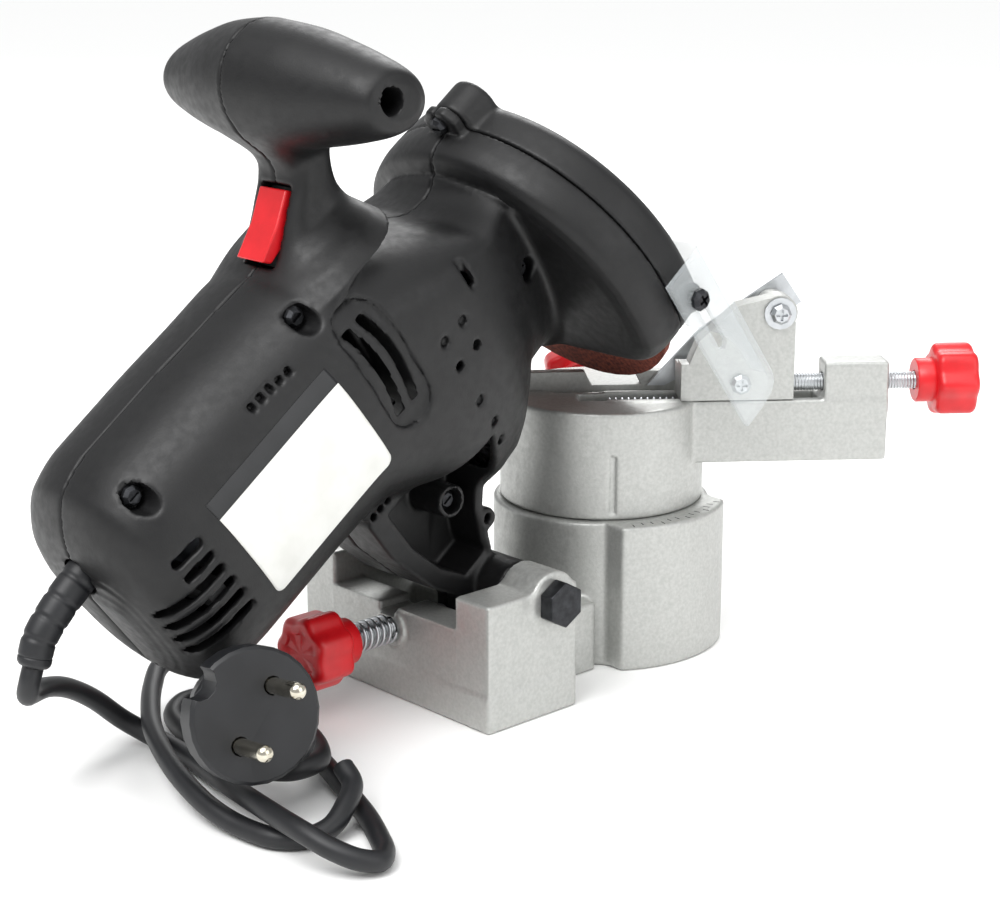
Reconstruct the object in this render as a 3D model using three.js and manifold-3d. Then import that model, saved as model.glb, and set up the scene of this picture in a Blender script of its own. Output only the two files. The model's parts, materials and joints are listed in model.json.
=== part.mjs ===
// Electric chainsaw sharpener: a bench base, a swivelling chain vise and a grinding head that
// tips down on a hinge bolt. Millimetres, +Z up. The origin is on the bench, on the axis that the
// vise swivels about. +X is forward, the way the clear visor faces, and +Y is to the left.
import * as THREE from "three";
import { mergeVertices } from "three/addons/utils/BufferGeometryUtils.js";
import Module from "manifold-3d";

const wasm = await Module();
wasm.setup();

// Clearances, and how far a cut runs past the face that it opens.
const touching = 0.3;
const running = 0.6;
const overrun = 1;
const weld = 0.0001;

// Sides of round pieces, by how large they are.
const facets = { hole: 8, screw: 8, small: 12, medium: 16, large: 26, dial: 44 };

// How the head leans back, and how far the vise is swung round, both in degrees.
const headLean = 37.5;
const viseSwing = -39;

const wheel = { radius: 50, thickness: 3.2, boreRadius: 5.3, centreX: -29, centreZ: 133.7 };
const hinge = { x: -66.75, z: 37.6, shankRadius: 4, boreRadius: 4.3, bossRadius: 9.75 };
const drum = {
  outerRadius: 37.2,
  height: 50.25,
  hollowRadius: 32.7,
  floorLow: 20,
  floorHigh: 28,
  socketRadius: 26,
  padHeight: 3,
};
const dial = { radius: 43, halfWidth: 25 };
const block = {
  depth: 38,
  halfWidth: 45.5,
  earInner: 30,
  earHeight: 42,
  rearWall: 13,
  rearWallTop: 31,
  frontWall: 4,
  floorTop: 12,
  hollowTop: 9,
  wall: 5,
  notchRight: -2,
  notchLeft: 6.5,
  notchFloor: 28,
};
const bridge = { halfWidth: 28, height: 24, reach: 30 };
const hingeBolt = { headFlats: 13, headHeight: 5.3, end: 56, nutHeight: 8 };
const depthStop = {
  z: 24,
  screwRadius: 3,
  holeRadius: 3.3,
  tip: -73.3,
  screwLength: 52,
  bossRadius: 6.5,
  bossHeight: 1.5,
  springRadius: 4.4,
  springWire: 0.6,
  springTurns: 6,
};
const knob = {
  radius: 12.5,
  headLength: 14,
  neckRadius: 7.5,
  neckLength: 6,
  lobes: 7,
  lobeDepthShare: 0.12,
  faceShare: 0.9,
  roundingShare: 0.14,
};
const swivel = { shankRadius: 4, headFlats: 13, headHeight: 5.3, washerRadius: 8.5, washerHeight: 1.6, top: 58 };

const vise = {
  radius: 35,
  bottom: 50.55,
  table: 87.1,
  pointerTop: 72.4,
  pointerHeight: 19.7,
  pointerWidth: 1.8,
  pointerDepth: 1,
  spigotRadius: 25.7,
  boltHoleTop: 62,
};
const rail = {
  end: 95,
  near: -20,
  far: -2,
  bottom: 65.6,
  endBlockLength: 22,
  endBlockFar: -8.5,
  endBlockTop: 99.8,
  channelNear: -16,
  channelFar: -5,
  channelFloor: 80,
  channelEnd: 72,
  sightHoleRadius: 3.5,
  sightHoleR: -6,
  sightHoleQ: -12,
  sightHoleDepth: 3,
};
const slot = {
  near: -1,
  far: 0.6,
  floor: 79,
  recessNear: -3.4,
  recessStart: -15.5,
  recessEnd: 26,
  recessDepth: 1.2,
};
const plate = {
  near: 0.9,
  thickness: 4,
  bottom: 74.3,
  top: 93.2,
  left: -31,
  right: 30,
  notchTopLeft: -6,
  notchWidth: 17,
  notchSlant: 2.5,
  notchFloor: 88.3,
  travel: 0.8,
};
const clamp = { r: -3, z: 80, screwRadius: 3, holeRadius: 3.3, tipGap: 0.3, knobStart: 38.5, radius: 13 };
const carriage = {
  left: 24.3,
  right: 62.5,
  plateFar: -12,
  blockFar: -5.4,
  blockTop: 98.5,
  shoulderLeft: 27,
  shoulderRise: 12.6,
  waist: 30.3,
  waistTop: 108,
  backLeft: 43,
  backTop: 119.7,
  crownLeft: 53.3,
  crownTop: 123.6,
  tongueLength: 35,
  tongueDepth: 5.8,
};
const pawl = {
  pivotR: 57,
  pivotZ: 117,
  bossRadius: 5,
  crownRadius: 6,
  near: -2.1,
  thickness: 1.7,
  screwRadius: 1.9,
  holeRadius: 2.2,
  rootHalfWidth: 6,
  rootReach: 9,
  tipR: 15.2,
  tipZ: 88.6,
  tipWidth: 6,
  ribHalfWidth: 1.6,
  ribHeight: 0.7,
};
const smallScrew = { headRadius: 3.5, headHeight: 2.3, shankRadius: 1.9, crossLength: 3.8, crossWidth: 0.9 };
const pawlWasher = { radius: 5.4, height: 0.7 };
const carriageScrew = { r: 44.4, z: 93, length: 6 };
const adjuster = { q: -14, z: 92, screwRadius: 3, holeRadius: 3.3, left: 51, neckStart: 105, knobRadius: 12.5 };
const stopSpring = { radius: 2.5, wire: 0.5, turns: 11, q: -10.5, z: 83.6 };

const guard = {
  halfWidth: 58,
  crown: 57,
  crownSteps: 14,
  crownCentre: 6,
  flatHalf: 44,
  bottom: -21,
  cornerHalf: 52,
  sideHalf: 56,
  sideHeight: -13,
  flankHeight: -5,
  wall: 2.5,
  mouthHalf: 48.5,
  rear: -16,
  rearInner: -13.4,
  front: 13,
  frontInner: 10.5,
  parting: -1,
};
const guardRearShares = [[1, 0.86], [0.92, 0.94], [0.7, 0.985], [0.3, 1]];
const guardFrontShares = [[0.64, 0.99], [0.92, 0.95], [1, 0.9]];
const hump = { radius: 8.5, centre: 62, front: 12, tabHalfWidth: 7.5, tabRear: -4.4, tabFront: -1.2, tabLow: 57 };
const coverScrew = { w: 66.5, length: 12 };
const visorBoss = { u: 4.2, w: -7, radius: 5, innerV: 50, outerV: 60 };
const visor = {
  rear: -3,
  front: 18,
  thickness: 2,
  top: 5,
  bottom: -59,
  archTop: -38,
  archHalfWidth: 52,
  archCorner: 10,
  cornerRadius: 4,
  footRadius: 12,
  travel: 20,
};
const visorScrew = { headRadius: 3.6, headHeight: 2.4, shankRadius: 1.6, length: 9, slotHalfWidth: 2 };

const body = {
  front: -13.5,
  length: 172.5,
  axis: 46.5,
  halfHeight: 40,
  halfWidth: 38,
  roundnessTop: 2.4,
  wall: 2.8,
  points: 18,
  hollowPoints: 8,
};
// Along the body from its front: place, height below the axis, height above it, width, and how
// square the lower half is.
const bodyShares = [
  [0, 1.635, 0.17, 0.6, 2],
  [0.05, 1.58, 0.16, 0.78, 2],
  [0.1, 1.56, 0.19, 0.88, 2],
  [0.16, 1.715, 0.36, 0.94, 2.2],
  [0.217, 1.86, 0.5, 0.98, 2.4],
  [0.25, 1.925, 0.58, 0.99, 2.4],
  [0.29, 1.92, 0.67, 0.99, 2.5],
  [0.36, 1.7, 0.8, 0.99, 2.9],
  [0.46, 1.25, 0.9, 0.97, 2.9],
  [0.55, 1.03, 0.91, 0.95, 2.9],
  [0.7, 1, 0.93, 0.94, 2.9],
  [0.84, 1, 0.93, 0.93, 2.9],
  [0.91, 0.99, 0.87, 0.9, 2.9],
  [0.96, 0.98, 0.66, 0.8, 2.7],
  [0.985, 0.85, 0.42, 0.62, 2.5],
  [1, 0.6, 0.1, 0.38, 2.4],
];
const bodyHollowShares = [0.975, 0.91, 0.55, 0.36, 0.26, 0.113];
const neck = {
  rearLow: -90,
  rearTop: -60,
  frontLow: -46,
  frontTop: -34,
  low: 74,
  top: 114,
  halfWidthLow: 30,
  halfWidthTop: 17,
  roundness: 3,
  points: 12,
};
// Up the neck: place, how far each edge has come over from its low end to its top end, and width.
const neckShares = [
  [0, 0, 0, 1],
  [0.1, 0.13, -0.17, 0.62],
  [0.2, 0.27, -0.27, 0],
  [0.3, 0.44, -0.25, -0.27],
  [0.43, 0.66, -0.12, -0.36],
  [0.55, 0.87, 0.08, -0.38],
  [0.65, 0.97, 0.33, -0.37],
  [0.78, 1, 0.67, -0.27],
  [1, 1, 1, 0],
];
const grip = {
  u: -45.4,
  w: 120.6,
  endU: -41.5,
  endW: 114.2,
  halfLength: 50,
  halfWidth: 18,
  halfHeight: 18.3,
  wall: 3,
  points: 16,
  hollowPoints: 8,
};
// Out along the grip from its middle: place, width and height.
const gripShares = [
  [0, 1, 1],
  [0.3, 0.96, 0.95],
  [0.56, 0.86, 0.82],
  [0.78, 0.74, 0.67],
  [0.92, 0.65, 0.54],
  [0.975, 0.56, 0.44],
  [1, 0.38, 0.28],
];
const arm = {
  halfWidth: 18,
  barrelRadius: 9.2,
  barrelHalfWidth: 29.5,
  webThickness: 6,
  rim: 5,
  lugRadius: 3.6,
  lugBore: 1.6,
  lugU: -77.7,
  lugW: -34.2,
  lugHalfWidth: 18,
  stopRear: -72,
  stopFront: -64.4,
  stopLow: 19,
  stopHalfWidth: 5,
};
// The arm's outline as shares of the way from the body's gearcase to the hinge, and of its width.
const armShares = [
  [-0.15, -0.55],
  [0.265, -0.55],
  [0.66, -0.435],
  [0.93, -0.25],
  [0.93, 0.1],
  [0.832, 0.131],
  [0.554, 0.278],
  [0.432, 0.406],
  [0.3, 0.6],
  [-0.15, 0.71],
];
const armFrame = { startW: 0, width: 43 };
const motor = { axis: 40.5 };
const bearing = {
  frontOuter: 11,
  frontFrom: -31,
  frontTo: -24,
  rearOuter: 9.5,
  hollowFrom: -35,
  rearFrom: -77,
  rearTo: -71,
  bore: 5,
  motorOuter: 9.5,
  motorFrontFrom: -79,
  motorFrontTo: -73,
  motorRearFrom: -181,
  motorRearTo: -175,
  motorBore: 4.3,
};
const spindle = { radius: 5, journal: 4.7, collarRadius: 7.5, rear: -77, end: 9.9 };
const flange = { radius: 16, innerRear: -8, innerFront: -1.9, outerRear: 1.9, outerFront: 5, relief: 1.2, reliefRadius: 12 };
const wheelNut = { flats: 16, height: 4.2 };
const gear = {
  module: 1.8,
  pressureAngle: 20,
  wheelTeeth: 27,
  pinionTeeth: 18,
  backlash: 0.4,
  rootShare: 1.25,
  rootGapShare: 0.3,
};
const gearChamber = (gear.module * (gear.wheelTeeth + 2)) / 2 + running;
const gearPlace = { wheelFrom: -65, wheelTo: -55, pinionFrom: -66.5, pinionTo: -53.5 };
const armature = {
  shaft: 4,
  rear: -182,
  front: -52,
  core: 15,
  coreFrom: -150,
  coreTo: -108,
  commutator: 11,
  commutatorFrom: -172,
  commutatorTo: -160,
  windingRadius: 13,
  windingFrom: -157,
  windingTo: -101,
};
const stator = { radius: 29.5, boreRadius: 15.8 };
const fan = { radius: 27, from: -95, to: -83, hub: 8, blades: 7, disc: 2, bladeThickness: 1.6 };
const brush = { u: -166, halfLength: 3, halfHeight: 4, outer: 31.6 };
const web = { middleFrom: -80, middleTo: -69, rearFrom: -184, rearTo: -173, ribHalf: 1.5, ribA: -142, ribB: -116 };

const housingScrew = { headRadius: 3.2, headHeight: 2.2, shankRadius: 1.6, holeRadius: 1.9, length: 18, recessRadius: 4 };
// Housing screws: place along and above the spindle, and how deep the head lies from the middle.
const screwPlaces = [
  { u: -92.5, w: 75, headV: 20 },
  { u: -163, w: 75.5, headV: 18 },
  { u: -22, w: 25.5, headV: 22 },
  { u: -84.3, w: -18.1, headV: 13 },
  { u: -43.5, w: 116.4, headV: 22 },
];
const screwBoss = { radius: 5.5 };
const switchHole = { u: -73, w: 89.5, turn: -38.6, halfLength: 12.4, halfWidth: 7.1, depth: 18, outward: 12 };
const rocker = {
  halfLength: 10.9,
  halfWidth: 6.3,
  pivotDepth: 3.6,
  seatHalf: 4,
  lowRise: 4,
  lowFoot: 0.4,
  middleRise: 0.9,
  highDrop: 0.2,
  highFoot: 3,
  bodyTop: 4.9,
};

const vent = { count: 6, rear: -180.5, front: -161.8, low: 31, pitch: 5.5, halfWidth: 1.5, shortCount: 2, shortRear: -170 };
const grille = { u: -84.7, w: 50.3, halfLength: 22, halfWidth: 8.3, depth: 1.6, slotHalf: 1.5, slotOffset: 3.2, slotLength: 14.2 };
const sideSlit = { lowU: -46, lowW: 45.4, highU: -45, highW: 55.6, halfWidth: 1.3, depth: 3 };

const relief = { rootRadius: 5.6, tipRadius: 4.9, steps: 10, sides: 10 };
// The strain relief's middle line in the plane of symmetry.
const reliefPoints = [
  [-199, 76.2],
  [-204, 72.4],
  [-211.8, 66.2],
  [-219, 59.3],
  [-224.6, 52.2],
  [-227, 45],
];
const cord = { radius: 3.1, leadSteps: 15, coilSteps: 82, tailSteps: 4, sides: 8, coilSides: 6 };
// The cord from the strain relief's tip to the plug, as it lies on the bench.
const cordPoints = [
  [-227.15, 0, 44.55],
  [-228.5, 0, 40.6],
  [-227.9, 2.6, 36],
  [-223.4, 8, 33.4],
  [-214.5, 14.7, 31],
  [-204.5, 20, 26.6],
  [-193.5, 23.6, 19],
  [-183.3, 24, 9.4],
  [-178.2, 19.5, 5],
  [-176.6, 11, 3.5],
  [-176.9, 1, 3.3],
  [-178.4, -9, 3.6],
  [-182.2, -22.1, 5.5],
  [-187.3, -39, 8.2],
  [-191.2, -54.3, 10.2],
  [-193.2, -67.9, 10.8],
  [-193.6, -79.7, 10.4],
  [-191.2, -87.9, 8],
  [-186.6, -93.6, 5.4],
  [-181, -95.4, 3.8],
  [-175.8, -91.4, 3.3],
  [-171.6, -84.4, 3.3],
  [-165.2, -71.6, 3.3],
  [-159.1, -56.1, 3.3],
  [-152.2, -38.2, 3.3],
  [-145.6, -18.8, 3.3],
  [-139, 2, 3.3],
  [-137, 18, 3.3],
  [-141, 31, 3.4],
  [-151, 36, 3.5],
  [-161.5, 29, 3.5],
  [-167, 15, 3.5],
  [-169.8, -3, 4],
  [-173.4, -20, 6],
  [-175, -34, 9],
  [-170, -44, 10.4],
  [-161, -44, 10.6],
  [-153.5, -34, 10.6],
  [-148, -18, 10.4],
  [-143, -2, 10.3],
  [-138, 14, 10.6],
  [-134, 30, 12],
  [-137, 42, 14],
  [-147, 46, 15],
  [-157, 42, 14.6],
  [-166.4, 32.3, 13.6],
  [-174.7, 21.4, 12.8],
  [-183, 8.2, 11.4],
  [-190.1, -8.4, 9.8],
  [-195.3, -26.3, 8],
  [-196.6, -40.7, 5.5],
  [-195.1, -52.7, 3.6],
  [-192.3, -64.1, 3.3],
  [-186, -69.9, 3.3],
  [-178.7, -71.6, 4.8],
  [-170.8, -68.8, 8.2],
  [-164.2, -63.6, 10.8],
  [-162.6, -57.6, 13.6],
];
const cordSplits = { lead: 10, tail: 56 };
const plug = {
  faceX: -188.7,
  faceY: -52.6,
  faceZ: 35,
  radius: 19.5,
  thickness: 9,
  backRadius: 14,
  backDepth: 8,
  notchRadius: 5,
  sleeveStart: 12,
  sleeveEnd: 22,
  sleeveRoot: 6.5,
  sleeveTip: 4.6,
  pinRadius: 2.4,
  pinLength: 19,
  pinHalfSpacing: 9.5,
  pinDepth: 4,
};
const plugAxis = new THREE.Vector3(-0.22, -0.947, 0.235).normalize();
const plugPinLine = new THREE.Vector3(-0.645, -0.04, -0.763);

const degrees = Math.PI / 180;
const axes = {
  x: new THREE.Vector3(1, 0, 0),
  y: new THREE.Vector3(0, 1, 0),
  z: new THREE.Vector3(0, 0, 1),
};

// Finishes.
const finishes = {
  casting: new THREE.MeshStandardMaterial({ color: 0xc9cac5, roughness: 0.5, metalness: 0.6 }),
  housing: new THREE.MeshStandardMaterial({ color: 0x303032, roughness: 0.7, metalness: 0 }),
  red: new THREE.MeshStandardMaterial({ color: 0xe01f26, roughness: 0.5, metalness: 0 }),
  zinc: new THREE.MeshStandardMaterial({ color: 0xc4c6c8, roughness: 0.35, metalness: 0.9 }),
  blackSteel: new THREE.MeshStandardMaterial({ color: 0x2c2d2f, roughness: 0.45, metalness: 0.7 }),
  clear: new THREE.MeshStandardMaterial({ color: 0xe8edf0, roughness: 0.1, metalness: 0 }),
  abrasive: new THREE.MeshStandardMaterial({ color: 0x6d2a20, roughness: 0.95, metalness: 0 }),
  rubber: new THREE.MeshStandardMaterial({ color: 0x26272b, roughness: 0.6, metalness: 0 }),
  nickel: new THREE.MeshStandardMaterial({ color: 0xd8d4c8, roughness: 0.25, metalness: 1 }),
  gearSteel: new THREE.MeshStandardMaterial({ color: 0x9a9b9d, roughness: 0.4, metalness: 0.9 }),
  laminations: new THREE.MeshStandardMaterial({ color: 0x5c6066, roughness: 0.6, metalness: 0.7 }),
  copper: new THREE.MeshStandardMaterial({ color: 0xb8713a, roughness: 0.4, metalness: 0.9 }),
  carbon: new THREE.MeshStandardMaterial({ color: 0x2a2a2a, roughness: 0.8, metalness: 0.1 }),
};

// A closed geometry as a solid that can be joined and cut.
function solid(geometry) {
  const source = geometry.index ? geometry.toNonIndexed() : geometry;
  const bare = new THREE.BufferGeometry();
  bare.setAttribute("position", source.getAttribute("position"));
  const merged = mergeVertices(bare, weld);
  const vertProperties = new Float32Array(merged.attributes.position.array);
  const triVerts = new Uint32Array(merged.index.array);
  return new wasm.Manifold(new wasm.Mesh({ numProp: 3, vertProperties, triVerts }));
}

function joined(...solids) {
  return solids.reduce((all, next) => all.add(next));
}

function cut(whole, ...tools) {
  return tools.reduce((left, tool) => left.subtract(tool), whole);
}

// A solid's faces as a geometry again.
function faces(made) {
  const mesh = made.getMesh();
  const geometry = new THREE.BufferGeometry();
  geometry.setAttribute("position", new THREE.BufferAttribute(new Float32Array(mesh.vertProperties), 3));
  geometry.setIndex(new THREE.BufferAttribute(new Uint32Array(mesh.triVerts), 1));
  geometry.computeVertexNormals();
  return geometry;
}

function moved(made, matrix) {
  return solid(faces(made).applyMatrix4(matrix));
}

function piece(parent, name, made, material) {
  const mesh = new THREE.Mesh(faces(made), material);
  mesh.name = name;
  parent.add(mesh);
  return mesh;
}

function box([x0, x1], [y0, y1], [z0, z1]) {
  const geometry = new THREE.BoxGeometry(x1 - x0, y1 - y0, z1 - z0);
  geometry.translate((x0 + x1) / 2, (y0 + y1) / 2, (z0 + z1) / 2);
  return solid(geometry);
}

// Lays geometry made along Y along the named axis, with that axis through (a, b).
function laid(geometry, axis, [a, b]) {
  if (axis === "x") return geometry.rotateZ(-Math.PI / 2).translate(0, a, b);
  if (axis === "z") return geometry.rotateX(Math.PI / 2).translate(a, b, 0);
  return geometry.translate(a, 0, b);
}

function rod(axis, radius, [from, to], centre = [0, 0], sides = facets.medium, endRadius = radius) {
  const geometry = new THREE.CylinderGeometry(endRadius, radius, to - from, sides);
  geometry.translate(0, (from + to) / 2, 0);
  return solid(laid(geometry, axis, centre));
}

// A round piece from its profile: radius and place along the axis, from its low end up.
function turned(axis, profile, centre = [0, 0], sides = facets.medium) {
  const points = profile.map(([radius, along]) => new THREE.Vector2(radius, along));
  return solid(laid(new THREE.LatheGeometry(points, sides), axis, centre));
}

function hexRod(axis, flats, span, centre = [0, 0]) {
  return rod(axis, flats / Math.sqrt(3), span, centre, 6);
}

const planes = {
  xy: new THREE.Matrix4(),
  xz: new THREE.Matrix4().makeBasis(axes.x, axes.z, axes.y.clone().negate()),
  yz: new THREE.Matrix4().makeBasis(axes.y, axes.z, axes.x),
};

// An outline drawn in a plane, extruded between two places along the plane's normal.
function extruded(plane, shape, [from, to], curveSegments = 8) {
  const options = { depth: to - from, bevelEnabled: false, curveSegments };
  const geometry = new THREE.ExtrudeGeometry(shape, options);
  geometry.translate(0, 0, plane === "xz" ? -to : from);
  return solid(geometry.applyMatrix4(planes[plane]));
}

function outline(points) {
  return new THREE.Shape(points.map(([x, y]) => new THREE.Vector2(x, y)));
}

// A slot with round ends between two points.
function slotOutline([x0, y0], [x1, y1], halfWidth) {
  const angle = Math.atan2(y1 - y0, x1 - x0);
  const shape = new THREE.Shape();
  shape.absarc(x1, y1, halfWidth, angle - Math.PI / 2, angle + Math.PI / 2, false);
  shape.absarc(x0, y0, halfWidth, angle + Math.PI / 2, angle + (Math.PI * 3) / 2, false);
  return shape;
}

// A closed skin over rings of the same count of points, each turning the same way.
function lofted(rings) {
  const count = rings[0].length;
  const positions = rings.flat().flatMap((point) => [point.x, point.y, point.z]);
  const index = [];
  for (let level = 1; level < rings.length; level += 1) {
    for (let k = 0; k < count; k += 1) {
      const low = (level - 1) * count;
      const high = level * count;
      const next = (k + 1) % count;
      index.push(low + k, low + next, high + next, low + k, high + next, high + k);
    }
  }
  const caps = [
    { ring: rings[0], start: 0, outward: false },
    { ring: rings.at(-1), start: (rings.length - 1) * count, outward: true },
  ];
  for (const { ring, start, outward } of caps) {
    const middle = new THREE.Vector3();
    ring.forEach((point) => middle.addScaledVector(point, 1 / count));
    const centre = positions.length / 3;
    positions.push(middle.x, middle.y, middle.z);
    for (let k = 0; k < count; k += 1) {
      const next = (k + 1) % count;
      if (outward) index.push(centre, start + k, start + next);
      else index.push(centre, start + next, start + k);
    }
  }
  const geometry = new THREE.BufferGeometry();
  geometry.setAttribute("position", new THREE.Float32BufferAttribute(positions, 3));
  geometry.setIndex(index);
  return solid(geometry);
}

// Reads a table of shares, whose first column rises, at one place along it.
function readShares(table, place) {
  const above = Math.max(1, table.findIndex((row) => row[0] >= place));
  const [low, high] = [table[above - 1], table[above]];
  const share = (place - low[0]) / (high[0] - low[0]);
  return low.map((value, column) => value + (high[column] - value) * share);
}

// One coordinate of a rounded rectangle: an angle's cosine or sine, squared off.
function squared(value, roundness) {
  return Math.sign(value) * Math.abs(value) ** (2 / roundness);
}

function angles(count) {
  return Array.from({ length: count }, (_, k) => (k / count) * Math.PI * 2);
}

// A tube of round section along a curve, its ends flat, and its radius given along it.
function swept(curve, steps, sides, radiusAt) {
  const frames = curve.computeFrenetFrames(steps, false);
  const rings = Array.from({ length: steps + 1 }, (_, step) => {
    const centre = curve.getPointAt(step / steps);
    return angles(sides).map((angle) =>
      centre
        .clone()
        .addScaledVector(frames.normals[step], Math.cos(angle) * radiusAt(step / steps))
        .addScaledVector(frames.binormals[step], Math.sin(angle) * radiusAt(step / steps)),
    );
  });
  return lofted(rings);
}

// A stretch of a longer curve.
class Stretch extends THREE.Curve {
  constructor(whole, from, to) {
    super();
    this.whole = whole;
    this.from = from;
    this.to = to;
  }

  getPoint(share, target = new THREE.Vector3()) {
    return target.copy(this.whole.getPointAt(this.from + (this.to - this.from) * share));
  }
}

// A coil spring along an axis: its ends run straight for one wire diameter.
class SpringCurve extends THREE.Curve {
  constructor(radius, turns, length, wire) {
    super();
    Object.assign(this, { radius, turns, length, wire });
  }

  getPoint(share, target = new THREE.Vector3()) {
    const angle = share * this.turns * Math.PI * 2;
    const along = this.wire + share * (this.length - this.wire * 2);
    return target.set(Math.cos(angle) * this.radius, along, Math.sin(angle) * this.radius);
  }
}

function spring(axis, { radius, turns, wire }, [from, to], centre) {
  const curve = new SpringCurve(radius, turns, to - from, wire);
  const steps = turns * 8;
  const made = faces(swept(curve, steps, 5, () => wire));
  const pitch = (to - from - wire * 2) / turns;
  console.log("least gap of the spring's turns", (pitch - wire * 2).toFixed(2), "mm");
  made.translate(0, from, 0);
  return solid(laid(made, axis, centre));
}

// A hand knob: a lobed head on a round neck, from the neck's face outwards.
function knobSolid(axis, radius, [neckFace, sign], centre, borePast) {
  const points = knob.lobes * 4;
  const headStart = knob.neckLength;
  const headEnd = knob.neckLength + knob.headLength;
  const rounding = knob.roundingShare * knob.headLength;
  const levels = [
    [headStart, knob.faceShare],
    [headStart + rounding, 1],
    [headEnd - rounding, 1],
    [headEnd, knob.faceShare],
  ];
  const rings = levels.map(([along, share]) =>
    angles(points).map((angle) => {
      const lobe = 1 - knob.lobeDepthShare * (0.5 - 0.5 * Math.cos(angle * knob.lobes));
      const reach = radius * share * lobe;
      return new THREE.Vector3(Math.sin(angle) * reach, along, Math.cos(angle) * reach);
    }),
  );
  const neckRod = rod("y", knob.neckRadius, [0, headStart + rounding], [0, 0], facets.small);
  const bore = rod("y", depthStop.holeRadius, [-overrun, borePast + touching], [0, 0], facets.hole);
  const geometry = faces(cut(joined(lofted(rings), neckRod), bore));
  if (sign < 0) geometry.rotateX(Math.PI);
  geometry.translate(0, neckFace, 0);
  return solid(laid(geometry, axis, centre));
}

// A cross-recessed pan-head screw along an axis; sign says which way its head faces.
function screwSolid(axis, size, [seat, sign], centre, length, crossed = true) {
  const profile = [
    [0, -length],
    [size.shankRadius, -length],
    [size.shankRadius, 0],
    [size.headRadius, 0],
    [size.headRadius, size.headHeight * 0.5],
    [size.headRadius * 0.7, size.headHeight],
    [0, size.headHeight],
  ];
  const geometry = faces(turned("y", profile, [0, 0], facets.screw));
  const arm = size.headRadius * 0.55;
  const halfArm = size.headRadius * 0.13;
  const depth = [size.headHeight * 0.4, size.headHeight + overrun];
  const slotted = box([-arm, arm], depth, [-halfArm, halfArm]);
  const recess = crossed ? slotted.add(box([-halfArm, halfArm], depth, [-arm, arm])) : slotted;
  const made = faces(cut(solid(geometry), recess));
  if (sign < 0) made.rotateX(Math.PI);
  made.translate(0, seat, 0);
  return solid(laid(made, axis, centre));
}

// The bench base, cast in one: a drum that the vise turns on, and a block that holds the hinge.
const blockFront = hinge.x + hinge.bossRadius;
const blockRear = blockFront - block.depth;
const rearWallFront = blockRear + block.rearWall;

function baseCasting() {
  const drumBody = rod("z", drum.outerRadius, [0, drum.height], [0, 0], facets.dial);
  const dialBoss = rod("z", dial.radius, [0, drum.height], [0, 0], facets.dial).intersect(
    box([-dial.halfWidth, dial.halfWidth], [-dial.radius - overrun, 0], [-overrun, drum.height + overrun]),
  );
  const bridgeBar = box(
    [blockFront - overrun, -bridge.reach],
    [-bridge.halfWidth, bridge.halfWidth],
    [0, bridge.height],
  );
  const ears = [-1, 1].map((side) => {
    const span = side < 0 ? [-block.halfWidth, -block.earInner] : [block.earInner, block.halfWidth];
    const ear = box([blockRear, blockFront], span, [0, block.earHeight]);
    return ear.add(rod("y", hinge.bossRadius, span, [hinge.x, hinge.z]));
  });
  const inner = [-block.earInner - overrun, block.earInner + overrun];
  const floor = box([blockRear, blockFront], inner, [0, block.floorTop]);
  const rearWall = box([blockRear, rearWallFront], inner, [0, block.rearWallTop]);
  const frontWall = box([blockFront - block.frontWall, blockFront], inner, [0, bridge.height]);
  const screwBossRod = rod(
    "x",
    depthStop.bossRadius,
    [blockRear - depthStop.bossHeight, blockRear + overrun],
    [0, depthStop.z],
  );
  const whole = joined(drumBody, dialBoss, bridgeBar, ...ears, floor, rearWall, frontWall, screwBossRod);
  const innerBlock = [block.halfWidth - block.wall, block.wall];
  return cut(
    whole,
    rod("z", drum.hollowRadius, [-overrun, drum.floorLow], [0, 0], facets.large),
    rod("z", drum.socketRadius, [drum.floorHigh, drum.height + overrun], [0, 0], facets.large),
    rod("z", swivel.shankRadius + touching, [drum.floorLow - overrun, drum.floorHigh + overrun]),
    rod("y", hinge.boreRadius, [-block.halfWidth - overrun, block.halfWidth + overrun], [hinge.x, hinge.z]),
    rod("x", depthStop.holeRadius, [blockRear - block.rearWall, rearWallFront + overrun], [0, depthStop.z]),
    box(
      [blockRear - depthStop.bossHeight - overrun, rearWallFront + overrun],
      [block.notchRight, block.notchLeft],
      [block.notchFloor, block.rearWallTop + overrun],
    ),
    box(
      [blockRear + block.wall, blockFront - innerBlock[1]],
      [-innerBlock[0], innerBlock[0]],
      [-overrun, block.hollowTop],
    ),
  );
}

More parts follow.
